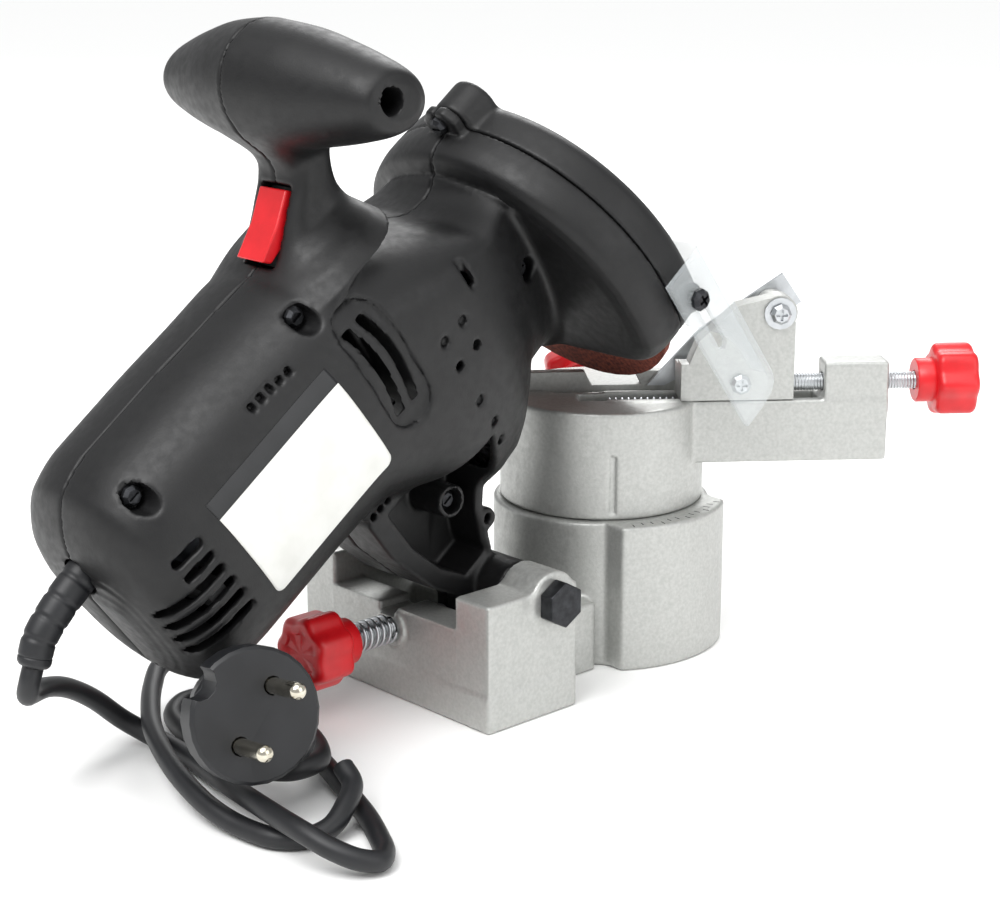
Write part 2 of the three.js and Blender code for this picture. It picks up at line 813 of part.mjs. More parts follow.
function baseGroup() {
  const group = new THREE.Group();
  const hingeCentre = [hinge.x, hinge.z];
  const outerFace = block.halfWidth + touching;
  piece(group, "base_casting", baseCasting(), finishes.casting);
  const pad = rod("z", drum.hollowRadius - touching, [0, drum.padHeight], [0, 0], facets.large);
  piece(group, "base_pad", pad, finishes.rubber);
  const bolt = joined(
    hexRod("y", hingeBolt.headFlats, [-outerFace - hingeBolt.headHeight, -outerFace], hingeCentre),
    rod("y", hinge.shankRadius, [-outerFace - overrun, hingeBolt.end], hingeCentre),
  );
  piece(group, "hinge_bolt", bolt, finishes.blackSteel);
  const nut = cut(
    hexRod("y", hingeBolt.headFlats, [outerFace, outerFace + hingeBolt.nutHeight], hingeCentre),
    rod("y", hinge.boreRadius, [outerFace - overrun, outerFace + hingeBolt.nutHeight + overrun], hingeCentre),
  );
  piece(group, "hinge_nut", nut, finishes.zinc);

  const washerTop = drum.floorLow - touching;
  const washerLow = washerTop - swivel.washerHeight;
  const washer = cut(
    rod("z", swivel.washerRadius, [washerLow, washerTop]),
    rod("z", swivel.shankRadius + touching, [washerLow - overrun, washerTop + overrun], [0, 0], facets.small),
  );
  piece(group, "swivel_washer", washer, finishes.zinc);
  const headTop = washerLow - touching;
  const swivelBolt = joined(
    hexRod("z", swivel.headFlats, [headTop - swivel.headHeight, headTop]),
    rod("z", swivel.shankRadius, [headTop - overrun, swivel.top]),
  );
  piece(group, "swivel_bolt", swivelBolt, finishes.zinc);

  const depthCentre = [0, depthStop.z];
  const bossFace = blockRear - depthStop.bossHeight;
  const screwRear = depthStop.tip - depthStop.screwLength;
  const springLength = 16.4;
  const knobFace = bossFace - springLength - touching * 2;
  piece(
    group,
    "depth_screw",
    rod("x", depthStop.screwRadius, [screwRear, depthStop.tip], depthCentre, facets.small),
    finishes.zinc,
  );
  piece(
    group,
    "depth_knob",
    knobSolid("x", knob.radius, [knobFace, -1], depthCentre, knobFace - screwRear),
    finishes.red,
  );
  const springSize = { radius: depthStop.springRadius, turns: depthStop.springTurns, wire: depthStop.springWire };
  const springSpan = [bossFace - touching - springLength, bossFace - touching];
  piece(group, "depth_spring", spring("x", springSize, springSpan, depthCentre), finishes.zinc);
  return group;
}

// The chain vise, in its own frame: x runs out along the rail, y across it away from the rail.
function viseBody() {
  const { table } = vise;
  const above = table + overrun;
  const body = joined(
    rod("z", vise.radius, [vise.bottom, table], [0, 0], facets.dial),
    rod("z", vise.spigotRadius, [drum.floorHigh + touching, vise.bottom + overrun], [0, 0], facets.large),
    box([0, rail.end], [rail.near, rail.far], [rail.bottom, table]),
    box([rail.end - rail.endBlockLength, rail.end], [rail.near, rail.endBlockFar], [table - overrun, rail.endBlockTop]),
  );
  const recess = slotOutline(
    [slot.recessStart, (slot.recessNear + slot.far) / 2],
    [slot.recessEnd, (slot.recessNear + slot.far) / 2],
    (slot.far - slot.recessNear) / 2,
  );
  const pocketFar = plate.near + plate.thickness + running;
  return cut(
    body,
    rod("z", swivel.shankRadius + touching, [drum.floorHigh - overrun, vise.boltHoleTop]),
    box([0, rail.channelEnd], [rail.channelNear, rail.channelFar], [rail.channelFloor, above]),
    rod(
      "z",
      rail.sightHoleRadius,
      [table - rail.sightHoleDepth, above],
      [rail.sightHoleR, rail.sightHoleQ],
      facets.small,
    ),
    box([-vise.radius - overrun, rail.end + overrun], [slot.near, slot.far], [slot.floor, above]),
    extruded("xy", recess, [table - slot.recessDepth, above]),
    box(
      [plate.left - touching, plate.right + touching],
      [plate.near - plate.travel - touching, pocketFar],
      [plate.bottom - touching, above],
    ),
    rod("y", clamp.holeRadius, [pocketFar - overrun, vise.radius + overrun], [clamp.r, clamp.z], facets.small),
    box(
      [-vise.pointerWidth / 2, vise.pointerWidth / 2],
      [-vise.radius - overrun, -vise.radius + vise.pointerDepth],
      [vise.pointerTop - vise.pointerHeight, vise.pointerTop],
    ),
    rod(
      "x",
      adjuster.holeRadius,
      [rail.end - rail.endBlockLength - overrun, rail.end + overrun],
      [adjuster.q, adjuster.z],
      facets.small,
    ),
  );
}

function clampPlate() {
  const far = plate.near + plate.thickness;
  const body = box([plate.left, plate.right], [plate.near, far], [plate.bottom, plate.top]);
  const notch = outline([
    [plate.notchTopLeft - plate.notchSlant, plate.top + overrun * 2],
    [plate.notchTopLeft, plate.top],
    [plate.notchTopLeft + plate.notchSlant, plate.notchFloor],
    [plate.notchTopLeft + plate.notchSlant + plate.notchWidth, plate.notchFloor],
    [plate.notchTopLeft + plate.notchWidth, plate.top],
    [plate.notchTopLeft + plate.notchWidth, plate.top + overrun * 2],
  ]);
  return cut(body, extruded("xz", notch, [plate.near - overrun, far + overrun]));
}

function carriageSolid() {
  const { left, right } = carriage;
  const foot = vise.table + touching;
  const crown = new THREE.Shape();
  crown.moveTo(left, foot);
  crown.lineTo(right, foot);
  crown.lineTo(right, pawl.pivotZ - pawl.rootHalfWidth / 2);
  crown.absarc(pawl.pivotR, pawl.pivotZ, pawl.crownRadius, -Math.PI / 6, (Math.PI * 2) / 3, false);
  crown.lineTo(carriage.backLeft, carriage.backTop);
  crown.lineTo(carriage.waist, carriage.waistTop);
  crown.lineTo(carriage.shoulderLeft, foot + carriage.shoulderRise);
  crown.lineTo(left, foot + carriage.shoulderRise);
  const plateBody = extruded("xz", crown, [rail.near, carriage.plateFar]);
  const footBlock = box([left, right], [rail.near, carriage.blockFar], [foot, carriage.blockTop]);
  const tongue = box(
    [left + touching * 4, left + touching * 4 + carriage.tongueLength],
    [rail.channelNear + running, rail.channelFar - running],
    [vise.table - carriage.tongueDepth, foot + overrun],
  );
  const pivot = [pawl.pivotR, pawl.pivotZ];
  const boss = rod("y", pawl.bossRadius, [carriage.plateFar - overrun, pawl.near - touching], pivot);
  return cut(
    joined(plateBody, footBlock, tongue, boss),
    rod("y", pawl.holeRadius, [rail.near - overrun, 0], pivot, facets.small),
    rod("x", adjuster.holeRadius, [adjuster.left - touching, right + overrun], [adjuster.q, adjuster.z], facets.small),
    rod(
      "y",
      smallScrew.shankRadius + touching,
      [rail.near - overrun, rail.near + carriageScrew.length + touching],
      [carriageScrew.r, carriageScrew.z],
      facets.small,
    ),
  );
}

// The pressed-steel pawl that the chain's tooth is pulled back against.
function pawlSolid() {
  const along = new THREE.Vector2(pawl.tipR - pawl.pivotR, pawl.tipZ - pawl.pivotZ).normalize();
  const across = new THREE.Vector2(-along.y, along.x);
  const root = new THREE.Vector2(pawl.pivotR, pawl.pivotZ);
  const reach = Math.hypot(pawl.tipR - pawl.pivotR, pawl.tipZ - pawl.pivotZ);
  const at = (out, side) => root.clone().addScaledVector(along, out).addScaledVector(across, side).toArray();
  const tip = [pawl.tipR, pawl.tipZ];
  const blade = outline([
    at(-pawl.rootReach, -pawl.rootHalfWidth),
    at(-pawl.rootReach, pawl.rootHalfWidth),
    at(reach * 0.5, pawl.rootHalfWidth),
    [pawl.tipR + pawl.tipWidth, pawl.tipZ],
    tip,
    at(reach * 0.5, -pawl.rootHalfWidth),
  ]);
  const span = [pawl.near, pawl.near + pawl.thickness];
  const rib = slotOutline(at(pawl.rootReach, 0), at(reach * 0.75, 0), pawl.ribHalfWidth);
  return cut(
    joined(extruded("xz", blade, span), extruded("xz", rib, [span[1] - overrun, span[1] + pawl.ribHeight])),
    rod("y", pawl.holeRadius, [span[0] - overrun, span[1] + overrun], [pawl.pivotR, pawl.pivotZ], facets.small),
  );
}

function viseGroup() {
  const group = new THREE.Group();
  group.rotation.z = viseSwing * degrees;
  piece(group, "vise_body", viseBody(), finishes.casting);
  piece(group, "clamp_plate", clampPlate(), finishes.casting);
  const screwCentre = [clamp.r, clamp.z];
  const tip = plate.near + plate.thickness + touching;
  const knobEnd = clamp.knobStart + knob.neckLength;
  piece(
    group,
    "clamp_screw",
    rod("y", clamp.screwRadius, [tip, knobEnd], screwCentre, facets.small),
    finishes.zinc,
  );
  piece(
    group,
    "clamp_knob",
    knobSolid("y", clamp.radius, [clamp.knobStart, 1], screwCentre, knob.neckLength),
    finishes.red,
  );
  piece(group, "chain_carriage", carriageSolid(), finishes.casting);
  const screwPlace = [carriageScrew.r, carriageScrew.z];
  const nearFace = rail.near - touching;
  piece(
    group,
    "carriage_screw",
    screwSolid("y", smallScrew, [nearFace, -1], screwPlace, carriageScrew.length),
    finishes.zinc,
  );
  const pivot = [pawl.pivotR, pawl.pivotZ];
  const washerSpan = [nearFace - pawlWasher.height, nearFace];
  const washer = cut(
    rod("y", pawlWasher.radius, washerSpan, pivot),
    rod("y", pawl.holeRadius, [washerSpan[0] - overrun, washerSpan[1] + overrun], pivot, facets.small),
  );
  piece(group, "pawl_washer", washer, finishes.zinc);
  const pawlEnd = pawl.near + pawl.thickness + pawl.ribHeight;
  const seat = washerSpan[0] - touching;
  piece(
    group,
    "pawl_screw",
    screwSolid("y", smallScrew, [seat, -1], pivot, pawlEnd - seat + overrun),
    finishes.zinc,
  );
  piece(group, "stop_pawl", pawlSolid(), finishes.zinc);
  const adjusterCentre = [adjuster.q, adjuster.z];
  piece(
    group,
    "adjusting_screw",
    rod("x", adjuster.screwRadius, [adjuster.left, adjuster.neckStart + knob.neckLength], adjusterCentre, facets.small),
    finishes.zinc,
  );
  piece(
    group,
    "adjusting_knob",
    knobSolid("x", adjuster.knobRadius, [adjuster.neckStart, 1], adjusterCentre, knob.neckLength),
    finishes.red,
  );
  const springSpan = [touching, carriage.left + touching * 3];
  piece(
    group,
    "stop_spring",
    spring("x", stopSpring, springSpan, [stopSpring.q, stopSpring.z]),
    finishes.zinc,
  );
  return group;
}

// The head is built in its own frame: x runs along the spindle, y across and z up the wheel.
const headMatrix = new THREE.Matrix4()
  .makeTranslation(wheel.centreX, 0, wheel.centreZ)
  .multiply(new THREE.Matrix4().makeRotationY(-headLean * degrees));
const intoHead = headMatrix.clone().invert();
const hingeInHead = new THREE.Vector3(hinge.x, 0, hinge.z).applyMatrix4(intoHead);

// An offset in the upright frame, as an offset in the leaning head.
function levelOffset(x, z) {
  const lean = headLean * degrees;
  return [x * Math.cos(lean) + z * Math.sin(lean), -x * Math.sin(lean) + z * Math.cos(lean)];
}

// The guard's outline round the wheel, drawn across the spindle; inset draws its inside.
function guardPoints(inset, scale) {
  const open = inset > 0;
  const bottom = open ? guard.bottom - overrun * 3 : guard.bottom;
  const flat = open ? guard.mouthHalf : guard.flatHalf;
  const shape = new THREE.Shape();
  shape.moveTo(-flat, bottom);
  shape.lineTo(flat, bottom);
  if (open) shape.lineTo(flat, guard.bottom + inset);
  const cornerHeight = open ? guard.bottom + inset : guard.bottom;
  shape.quadraticCurveTo(guard.cornerHalf - inset, cornerHeight, guard.sideHalf - inset, guard.sideHeight);
  const flank = guard.halfWidth - inset;
  shape.quadraticCurveTo(flank, guard.flankHeight, flank, guard.crownCentre);
  shape.absellipse(0, guard.crownCentre, flank, guard.crown - inset, 0, Math.PI, false);
  shape.quadraticCurveTo(-flank, guard.flankHeight, -guard.sideHalf + inset, guard.sideHeight);
  shape.quadraticCurveTo(-guard.cornerHalf + inset, cornerHeight, -flat, cornerHeight);
  const steps = (curve) => (curve.isLineCurve ? 1 : curve.isEllipseCurve ? guard.crownSteps : 2);
  const points = shape.curves.flatMap((curve) => curve.getPoints(steps(curve)));
  const apart = points.filter((point, k) => k === 0 || point.distanceTo(points[k - 1]) > touching);
  if (apart.at(-1).distanceTo(apart[0]) < touching) apart.pop();
  return apart.map((point) => new THREE.Vector2(point.x, point.y).multiplyScalar(scale));
}

function guardRing(u, inset, scale) {
  return guardPoints(inset, scale).map((point) => new THREE.Vector3(u, point.x, point.y));
}

function guardRear(split) {
  const depth = guard.rear - guard.parting;
  const outer = guardRearShares.map(([place, scale]) => guardRing(guard.parting + depth * place, 0, scale));
  return lofted([...outer, guardRing(split, 0, 1)]);
}

function guardRearHollow() {
  const depth = guard.rearInner - guard.parting;
  const shares = guardRearShares.map(([place, scale]) =>
    guardRing(guard.parting + depth * place, guard.wall, scale - (1 - place > 0.5 ? 0 : 0.03)),
  );
  return lofted([...shares, guardRing(guard.parting + overrun * 3, guard.wall, 1)]);
}

function wheelCover() {
  const depth = guard.front - guard.parting;
  const innerDepth = guard.frontInner - guard.parting;
  const start = guard.parting + touching / 2;
  const outer = guardFrontShares.map(([place, scale]) => guardRing(guard.parting + depth * place, 0, scale));
  const inner = guardFrontShares.map(([place, scale]) =>
    guardRing(guard.parting + innerDepth * place, guard.wall, scale - 0.012),
  );
  const shell = cut(
    lofted([guardRing(start, 0, 1), ...outer]),
    lofted([guardRing(start - overrun, guard.wall, 1), ...inner]),
  );
  const bossSpan = [visorBoss.innerV, visorBoss.outerV];
  const bosses = [-1, 1].map((side) => {
    const span = side < 0 ? [-bossSpan[1], -bossSpan[0]] : bossSpan;
    return rod("y", visorBoss.radius, span, [visorBoss.u, visorBoss.w], facets.medium);
  });
  const humpRod = rod("x", hump.radius, [start, hump.front], [0, hump.centre]);
  const wheelSpace = lofted([guardRing(start - overrun, guard.wall, 1), ...inner]);
  const screwHole = visorScrew.shankRadius + touching;
  return cut(
    joined(shell, cut(joined(...bosses, humpRod), wheelSpace)),
    rod("y", screwHole, [-visorBoss.outerV - overrun, -visorBoss.innerV], [visorBoss.u, visorBoss.w], facets.hole),
    rod("y", screwHole, [visorBoss.innerV, visorBoss.outerV + overrun], [visorBoss.u, visorBoss.w], facets.hole),
    rod(
      "x",
      housingScrew.holeRadius,
      [start - overrun, hump.tabFront + coverScrew.length],
      [0, coverScrew.w],
      facets.hole,
    ),
  );
}

const bodyRings = bodyShares.map(([place]) => place).reverse();

// The moulded body along the motor; inset makes the space inside it.
function bodyLoft(inset, places, pointCount) {
  const rings = places.map((place) => {
    const [, low, high, width, roundnessLow] = readShares(bodyShares, place);
    const u = body.front - body.length * place;
    return angles(pointCount).map((angle) => {
      const above = Math.sin(angle) > 0;
      const roundness = above ? body.roundnessTop : roundnessLow;
      const reach = above ? body.halfHeight * high : body.halfHeight * low;
      const rise = squared(Math.sin(angle), roundness) * (reach - inset);
      const v = squared(Math.cos(angle), roundness) * (body.halfWidth * width - inset);
      return new THREE.Vector3(u, v, body.axis + rise);
    });
  });
  return lofted(rings);
}

function neckLoft() {
  const rings = neckShares.map(([place, rearShare, frontShare, widthShare]) => {
    const w = neck.low + (neck.top - neck.low) * place;
    const rear = neck.rearLow + (neck.rearTop - neck.rearLow) * rearShare;
    const front = neck.frontLow + (neck.frontTop - neck.frontLow) * frontShare;
    const halfWidth = neck.halfWidthTop + (neck.halfWidthLow - neck.halfWidthTop) * widthShare;
    return angles(neck.points).map((angle) => {
      const u = (rear + front) / 2 + (squared(Math.cos(angle), neck.roundness) * (front - rear)) / 2;
      return new THREE.Vector3(u, squared(Math.sin(angle), neck.roundness) * halfWidth, w);
    });
  });
  return lofted(rings);
}

function gripLoft(inset, pointCount) {
  const half = gripShares
    .filter((_, k) => inset === 0 || k % 2 === 0)
    .map(([place, width, height]) => ({ place, width, height }));
  const rows = [...half.slice(1).reverse().map((row) => ({ ...row, place: -row.place })), ...half];
  const rings = rows.map(({ place, width, height }) => {
    const v = place * (grip.halfLength - inset);
    const out = Math.abs(place);
    const centre = [grip.u + (grip.endU - grip.u) * out, grip.w + (grip.endW - grip.w) * out];
    return angles(pointCount).map((angle) => {
      const x = Math.sin(angle) * (grip.halfWidth * width - inset);
      const z = Math.cos(angle) * (grip.halfHeight * height - inset);
      const [du, dw] = levelOffset(x, z);
      return new THREE.Vector3(centre[0] + du, v, centre[1] + dw);
    });
  });
  return lofted(rings);
}

// The arm that reaches down from the gearcase to the hinge, webbed like an I-beam.
function armSolids() {
  const armLength = armFrame.startW - hingeInHead.z;
  const points = armShares.map(([down, across]) => [
    hingeInHead.x + armFrame.width * across,
    armFrame.startW - armLength * down,
  ]);
  const centre = points.reduce((sum, [x, y]) => [sum[0] + x / points.length, sum[1] + y / points.length], [0, 0]);
  const shrink = (armFrame.width - arm.rim * 2.6) / armFrame.width;
  const inner = points.map(([x, y]) => [centre[0] + (x - centre[0]) * shrink, centre[1] + (y - centre[1]) * shrink]);
  const barrelCentre = [hingeInHead.x, hingeInHead.z];
  const lugCentre = [arm.lugU, arm.lugW];
  const solidArm = joined(
    extruded("xz", outline(points), [-arm.halfWidth, arm.halfWidth]),
    rod("y", arm.barrelRadius, [-arm.barrelHalfWidth, arm.barrelHalfWidth], barrelCentre, facets.large),
    rod("y", arm.lugRadius, [-arm.lugHalfWidth, arm.lugHalfWidth], lugCentre, facets.small),
  );
  const stopLug = box(
    [arm.stopRear, arm.stopFront],
    [-arm.stopHalfWidth, arm.stopHalfWidth],
    [arm.stopLow, hinge.z],
  );
  const pockets = [-1, 1].map((side) => {
    const near = arm.webThickness / 2;
    const span = side < 0 ? [-arm.halfWidth - overrun, -near] : [near, arm.halfWidth + overrun];
    return cut(
      extruded("xz", outline(inner), span),
      ...screwBosses(),
      rod("y", arm.barrelRadius, [-arm.halfWidth - overrun, arm.halfWidth + overrun], barrelCentre, facets.large),
    );
  });
  const bores = [
    rod("y", hinge.boreRadius, [-arm.barrelHalfWidth - overrun, arm.barrelHalfWidth + overrun], barrelCentre),
    rod("y", arm.lugBore, [-arm.lugHalfWidth - overrun, arm.lugHalfWidth + overrun], lugCentre, facets.hole),
  ];
  return { solidArm: joined(solidArm, moved(stopLug, intoHead)), pockets, bores };
}

// The space inside the housing, with the webs, ribs and screw bosses left standing in it.
function screwBosses() {
  return screwPlaces.map(({ u, w }) =>
    rod("y", screwBoss.radius, [-grip.halfLength - overrun, grip.halfLength + overrun], [u, w], facets.hole),
  );
}

function housingHollow() {
  const space = bodyLoft(body.wall, bodyHollowShares, body.hollowPoints);
  const wide = [-body.halfWidth, body.halfWidth];
  const tall = [body.axis - body.halfHeight * 2.2, body.axis + body.halfHeight * 1.2];
  const wall = (from, to) => box([from, to], wide, tall);
  const motorCentre = [0, motor.axis];
  const seat = (outer, from, to, centre) => rod("x", outer, [from - touching, to + touching], centre);
  const walls = [
    wall(web.middleFrom, web.middleTo),
    wall(web.rearFrom, web.rearTo),
    ...[web.ribA, web.ribB].map((u) => wall(u - web.ribHalf, u + web.ribHalf)),
  ];
  const motorSeat = bearing.motorOuter + touching;
  const seats = [
    seat(bearing.rearOuter + touching, bearing.rearFrom, web.middleTo, [0, 0]),
    seat(bearing.frontOuter + touching, bearing.hollowFrom, bearing.frontTo, [0, 0]),
    rod("x", spindle.collarRadius + running, [bearing.frontTo - overrun, guard.rearInner + overrun]),
    rod("x", gearChamber, [gearPlace.wheelFrom - running, gearPlace.wheelTo + running], [0, 0], facets.large),
    seat(motorSeat, web.middleFrom, bearing.motorFrontTo, motorCentre),
    seat(motorSeat, bearing.motorRearFrom, web.rearTo, motorCentre),
    seat(armature.shaft + running, armature.rear, armature.front, motorCentre),
    rod(
      "x",
      stator.radius + touching,
      [armature.coreFrom - touching, armature.coreTo + touching],
      motorCentre,
      facets.medium,
    ),
    box(
      [brush.u - brush.halfLength - touching, brush.u + brush.halfLength + touching],
      [-brush.outer - touching, brush.outer + touching],
      [motor.axis - brush.halfHeight - touching, motor.axis + brush.halfHeight + touching],
    ),
  ];
  const open = joined(space, gripLoft(grip.wall, grip.hollowPoints));
  return joined(cut(open, ...walls, ...screwBosses()), ...seats);
}

// Openings and marks that both sides of the housing carry; side is -1 for the right half.
function sideCuts(side) {
  const across = (from, to) => (side < 0 ? [-to, -from] : [from, to]);
  const outer = body.halfWidth + overrun;
  const cuts = [];
  for (let k = 0; k < vent.count; k += 1) {
    const w = vent.low + vent.pitch * k;
    const rear = k < vent.count - vent.shortCount ? vent.rear : vent.shortRear;
    const shape = slotOutline([rear, w], [vent.front, w], vent.halfWidth);
    cuts.push(extruded("xz", shape, across(body.halfWidth / 2, outer), 2));
  }
  const oval = slotOutline(
    [grille.u, grille.w - grille.halfLength + grille.halfWidth],
    [grille.u, grille.w + grille.halfLength - grille.halfWidth],
    grille.halfWidth,
  );
  const recess = extruded("xz", oval, across(body.halfWidth / 2, outer), 6);
  cuts.push(cut(recess, bodyLoft(grille.depth, bodyRings, body.points)));
  for (const offset of [-grille.slotOffset, grille.slotOffset]) {
    const shape = slotOutline(
      [grille.u + offset, grille.w - grille.slotLength],
      [grille.u + offset, grille.w + grille.slotLength],
      grille.slotHalf,
    );
    cuts.push(extruded("xz", shape, across(body.halfWidth / 2, outer), 2));
  }
  const slit = slotOutline([sideSlit.lowU, sideSlit.lowW], [sideSlit.highU, sideSlit.highW], sideSlit.halfWidth);
  cuts.push(extruded("xz", slit, across(body.halfWidth - sideSlit.depth, outer), 3));
  return cuts;
}

// Where the five screws go through the right half into the left one.
function screwCuts() {
  return screwPlaces.flatMap(({ u, w, headV }) => [
    rod("y", housingScrew.recessRadius, [-grip.halfLength - overrun, -headV], [u, w], facets.screw),
    rod("y", housingScrew.holeRadius, [-headV - overrun, housingScrew.length - headV + overrun], [u, w], 6),
  ]);
}

const switchMatrix = new THREE.Matrix4()
  .makeTranslation(switchHole.u, 0, switchHole.w)
  .multiply(new THREE.Matrix4().makeRotationY(switchHole.turn * degrees));

function reliefCurve() {
  return new THREE.CatmullRomCurve3(reliefPoints.map(([x, z]) => new THREE.Vector3(x, 0, z)));
}

function housingHalves() {
  const { solidArm, pockets, bores } = armSolids();
  const tab = joined(
    box(
      [hump.tabRear, hump.tabFront],
      [-hump.tabHalfWidth, hump.tabHalfWidth],
      [hump.tabLow, coverScrew.w],
    ),
    rod("x", hump.tabHalfWidth, [hump.tabRear, hump.tabFront], [0, coverScrew.w - overrun], facets.small),
  );
  const outside = joined(
    cut(joined(bodyLoft(0, bodyRings, body.points), solidArm), ...pockets),
    neckLoft(),
    gripLoft(0, grip.points),
    guardRear(guard.parting - touching / 2),
    tab,
  );
  const pocket = box(
    [-switchHole.halfLength, switchHole.halfLength],
    [-switchHole.halfWidth, switchHole.halfWidth],
    [-switchHole.depth, switchHole.outward],
  );
  const reliefRoot = swept(new Stretch(reliefCurve(), 0, 0.5), 4, facets.hole, () => relief.rootRadius + running);
  const whole = cut(
    outside,
    housingHollow(),
    guardRearHollow(),
    moved(pocket, switchMatrix),
    moved(reliefRoot, intoHead),
    rod("x", housingScrew.holeRadius, [hump.tabRear - overrun, hump.tabFront + overrun], [0, coverScrew.w], facets.hole),
    ...bores,
  );
  const far = body.length * 2;
  const half = (side) =>
    cut(
      whole.intersect(box([-far, far], side < 0 ? [-far, -touching / 2] : [touching / 2, far], [-far, far])),
      ...sideCuts(side),
      ...screwCuts(),
    );
  return { right: half(-1), left: half(1) };
}

// One gear's outline: each flank a chord of its involute.
function gearOutline(teeth, phase) {
  const pitchRadius = (gear.module * teeth) / 2;
  const alpha = gear.pressureAngle * degrees;
  const baseRadius = pitchRadius * Math.cos(alpha);
  const rootRadius = pitchRadius - gear.module * gear.rootShare;
  const tipRadius = pitchRadius + gear.module;
  const involute = (angle) => Math.tan(angle) - angle;
  const halfTooth = Math.PI / (2 * teeth) - gear.backlash / (4 * pitchRadius);
  const flankStart = Math.max(baseRadius, rootRadius);
  const flank = [0, 1].map((share) => {
    const radius = flankStart + (tipRadius - flankStart) * share;
    const pressure = Math.acos(Math.min(1, baseRadius / radius));
    return [radius, halfTooth + involute(alpha) - involute(pressure)];
  });
  const edge = flank[0][1];
  const gap = (Math.PI / teeth - edge) * gear.rootGapShare;
  const points = [];
  for (let tooth = 0; tooth < teeth; tooth += 1) {
    const middle = phase + (tooth / teeth) * Math.PI * 2;
    points.push([rootRadius, middle - edge - gap]);
    flank.forEach(([radius, angle]) => points.push([radius, middle - angle]));
    [...flank].reverse().forEach(([radius, angle]) => points.push([radius, middle + angle]));
    points.push([rootRadius, middle + edge + gap]);
  }
  return outline(points.map(([radius, angle]) => [Math.cos(angle) * radius, Math.sin(angle) * radius]));
}

function ringSolid(outer, bore, span, centre = [0, 0], sides = facets.small) {
  return cut(rod("x", outer, span, centre, sides), rod("x", bore, [span[0] - overrun, span[1] + overrun], centre, sides));
}

function spindleParts(group) {
  const half = wheel.thickness / 2;
  piece(
    group,
    "grinding_wheel",
    cut(
      rod("x", wheel.radius, [-half, half], [0, 0], facets.dial),
      rod("x", wheel.boreRadius, [-half - overrun, half + overrun]),
    ),
    finishes.abrasive,
  );
  const flangeSolid = (rear, front, reliefFrom, reliefTo) =>
    cut(
      ringSolid(flange.radius, wheel.boreRadius, [rear, front], [0, 0], facets.medium),
      rod("x", flange.reliefRadius, [reliefFrom, reliefTo], [0, 0], facets.small),
    );
  piece(
    group,
    "inner_flange",
    flangeSolid(flange.innerRear, flange.innerFront, flange.innerFront - flange.relief, flange.innerFront + overrun),
    finishes.zinc,
  );
  piece(
    group,
    "outer_flange",
    flangeSolid(flange.outerRear, flange.outerFront, flange.outerRear - overrun, flange.outerRear + flange.relief),
    finishes.zinc,
  );
  const nutStart = flange.outerFront + touching;
  const nut = cut(
    hexRod("x", wheelNut.flats, [nutStart, nutStart + wheelNut.height]),
    rod("x", wheel.boreRadius, [nutStart - overrun, nutStart + wheelNut.height + overrun]),
  );
  piece(group, "wheel_nut", nut, finishes.zinc);
  const collarRear = bearing.frontTo + touching;
  const collarFront = flange.innerRear - touching;
  const profile = [
    [0, spindle.rear],
    [spindle.journal, spindle.rear],
    [spindle.journal, collarRear],
    [spindle.collarRadius, collarRear],
    [spindle.collarRadius, collarFront],
    [spindle.radius, collarFront],
    [spindle.radius, spindle.end - overrun],
    [spindle.radius - overrun, spindle.end],
    [0, spindle.end],
  ];
  piece(group, "spindle", turned("x", profile, [0, 0], facets.small), finishes.gearSteel);
  piece(
    group,
    "spindle_bearing_front",
    ringSolid(bearing.frontOuter, bearing.bore, [bearing.frontFrom, bearing.frontTo]),
    finishes.gearSteel,
  );
  piece(
    group,
    "spindle_bearing_rear",
    ringSolid(bearing.rearOuter, bearing.bore, [bearing.rearFrom, bearing.rearTo]),
    finishes.gearSteel,
  );
  const wheelGear = cut(
    extruded("yz", gearOutline(gear.wheelTeeth, Math.PI / 2), [gearPlace.wheelFrom, gearPlace.wheelTo]),
    rod("x", bearing.bore, [gearPlace.wheelFrom - overrun, gearPlace.wheelTo + overrun]),
  );
  piece(group, "spindle_gear", wheelGear, finishes.gearSteel);
}

function fanSolid() {
  const centre = [0, motor.axis];
  const disc = rod("x", fan.radius, [fan.from, fan.from + fan.disc], centre, facets.medium);
  const hub = rod("x", fan.hub, [fan.from, fan.to], centre, facets.small);
  const blades = angles(fan.blades).map((angle) => {
    const blade = box(
      [fan.from + overrun, fan.to],
      [fan.hub - overrun, fan.radius - overrun],
      [-fan.bladeThickness / 2, fan.bladeThickness / 2],
    );
    const turn = new THREE.Matrix4().makeTranslation(0, 0, motor.axis);
    return moved(blade, turn.multiply(new THREE.Matrix4().makeRotationX(angle)));
  });
  const shaftHole = rod("x", bearing.motorBore, [fan.from - overrun, fan.to + overrun], centre, facets.small);
  return cut(joined(disc, hub, ...blades), shaftHole);
}

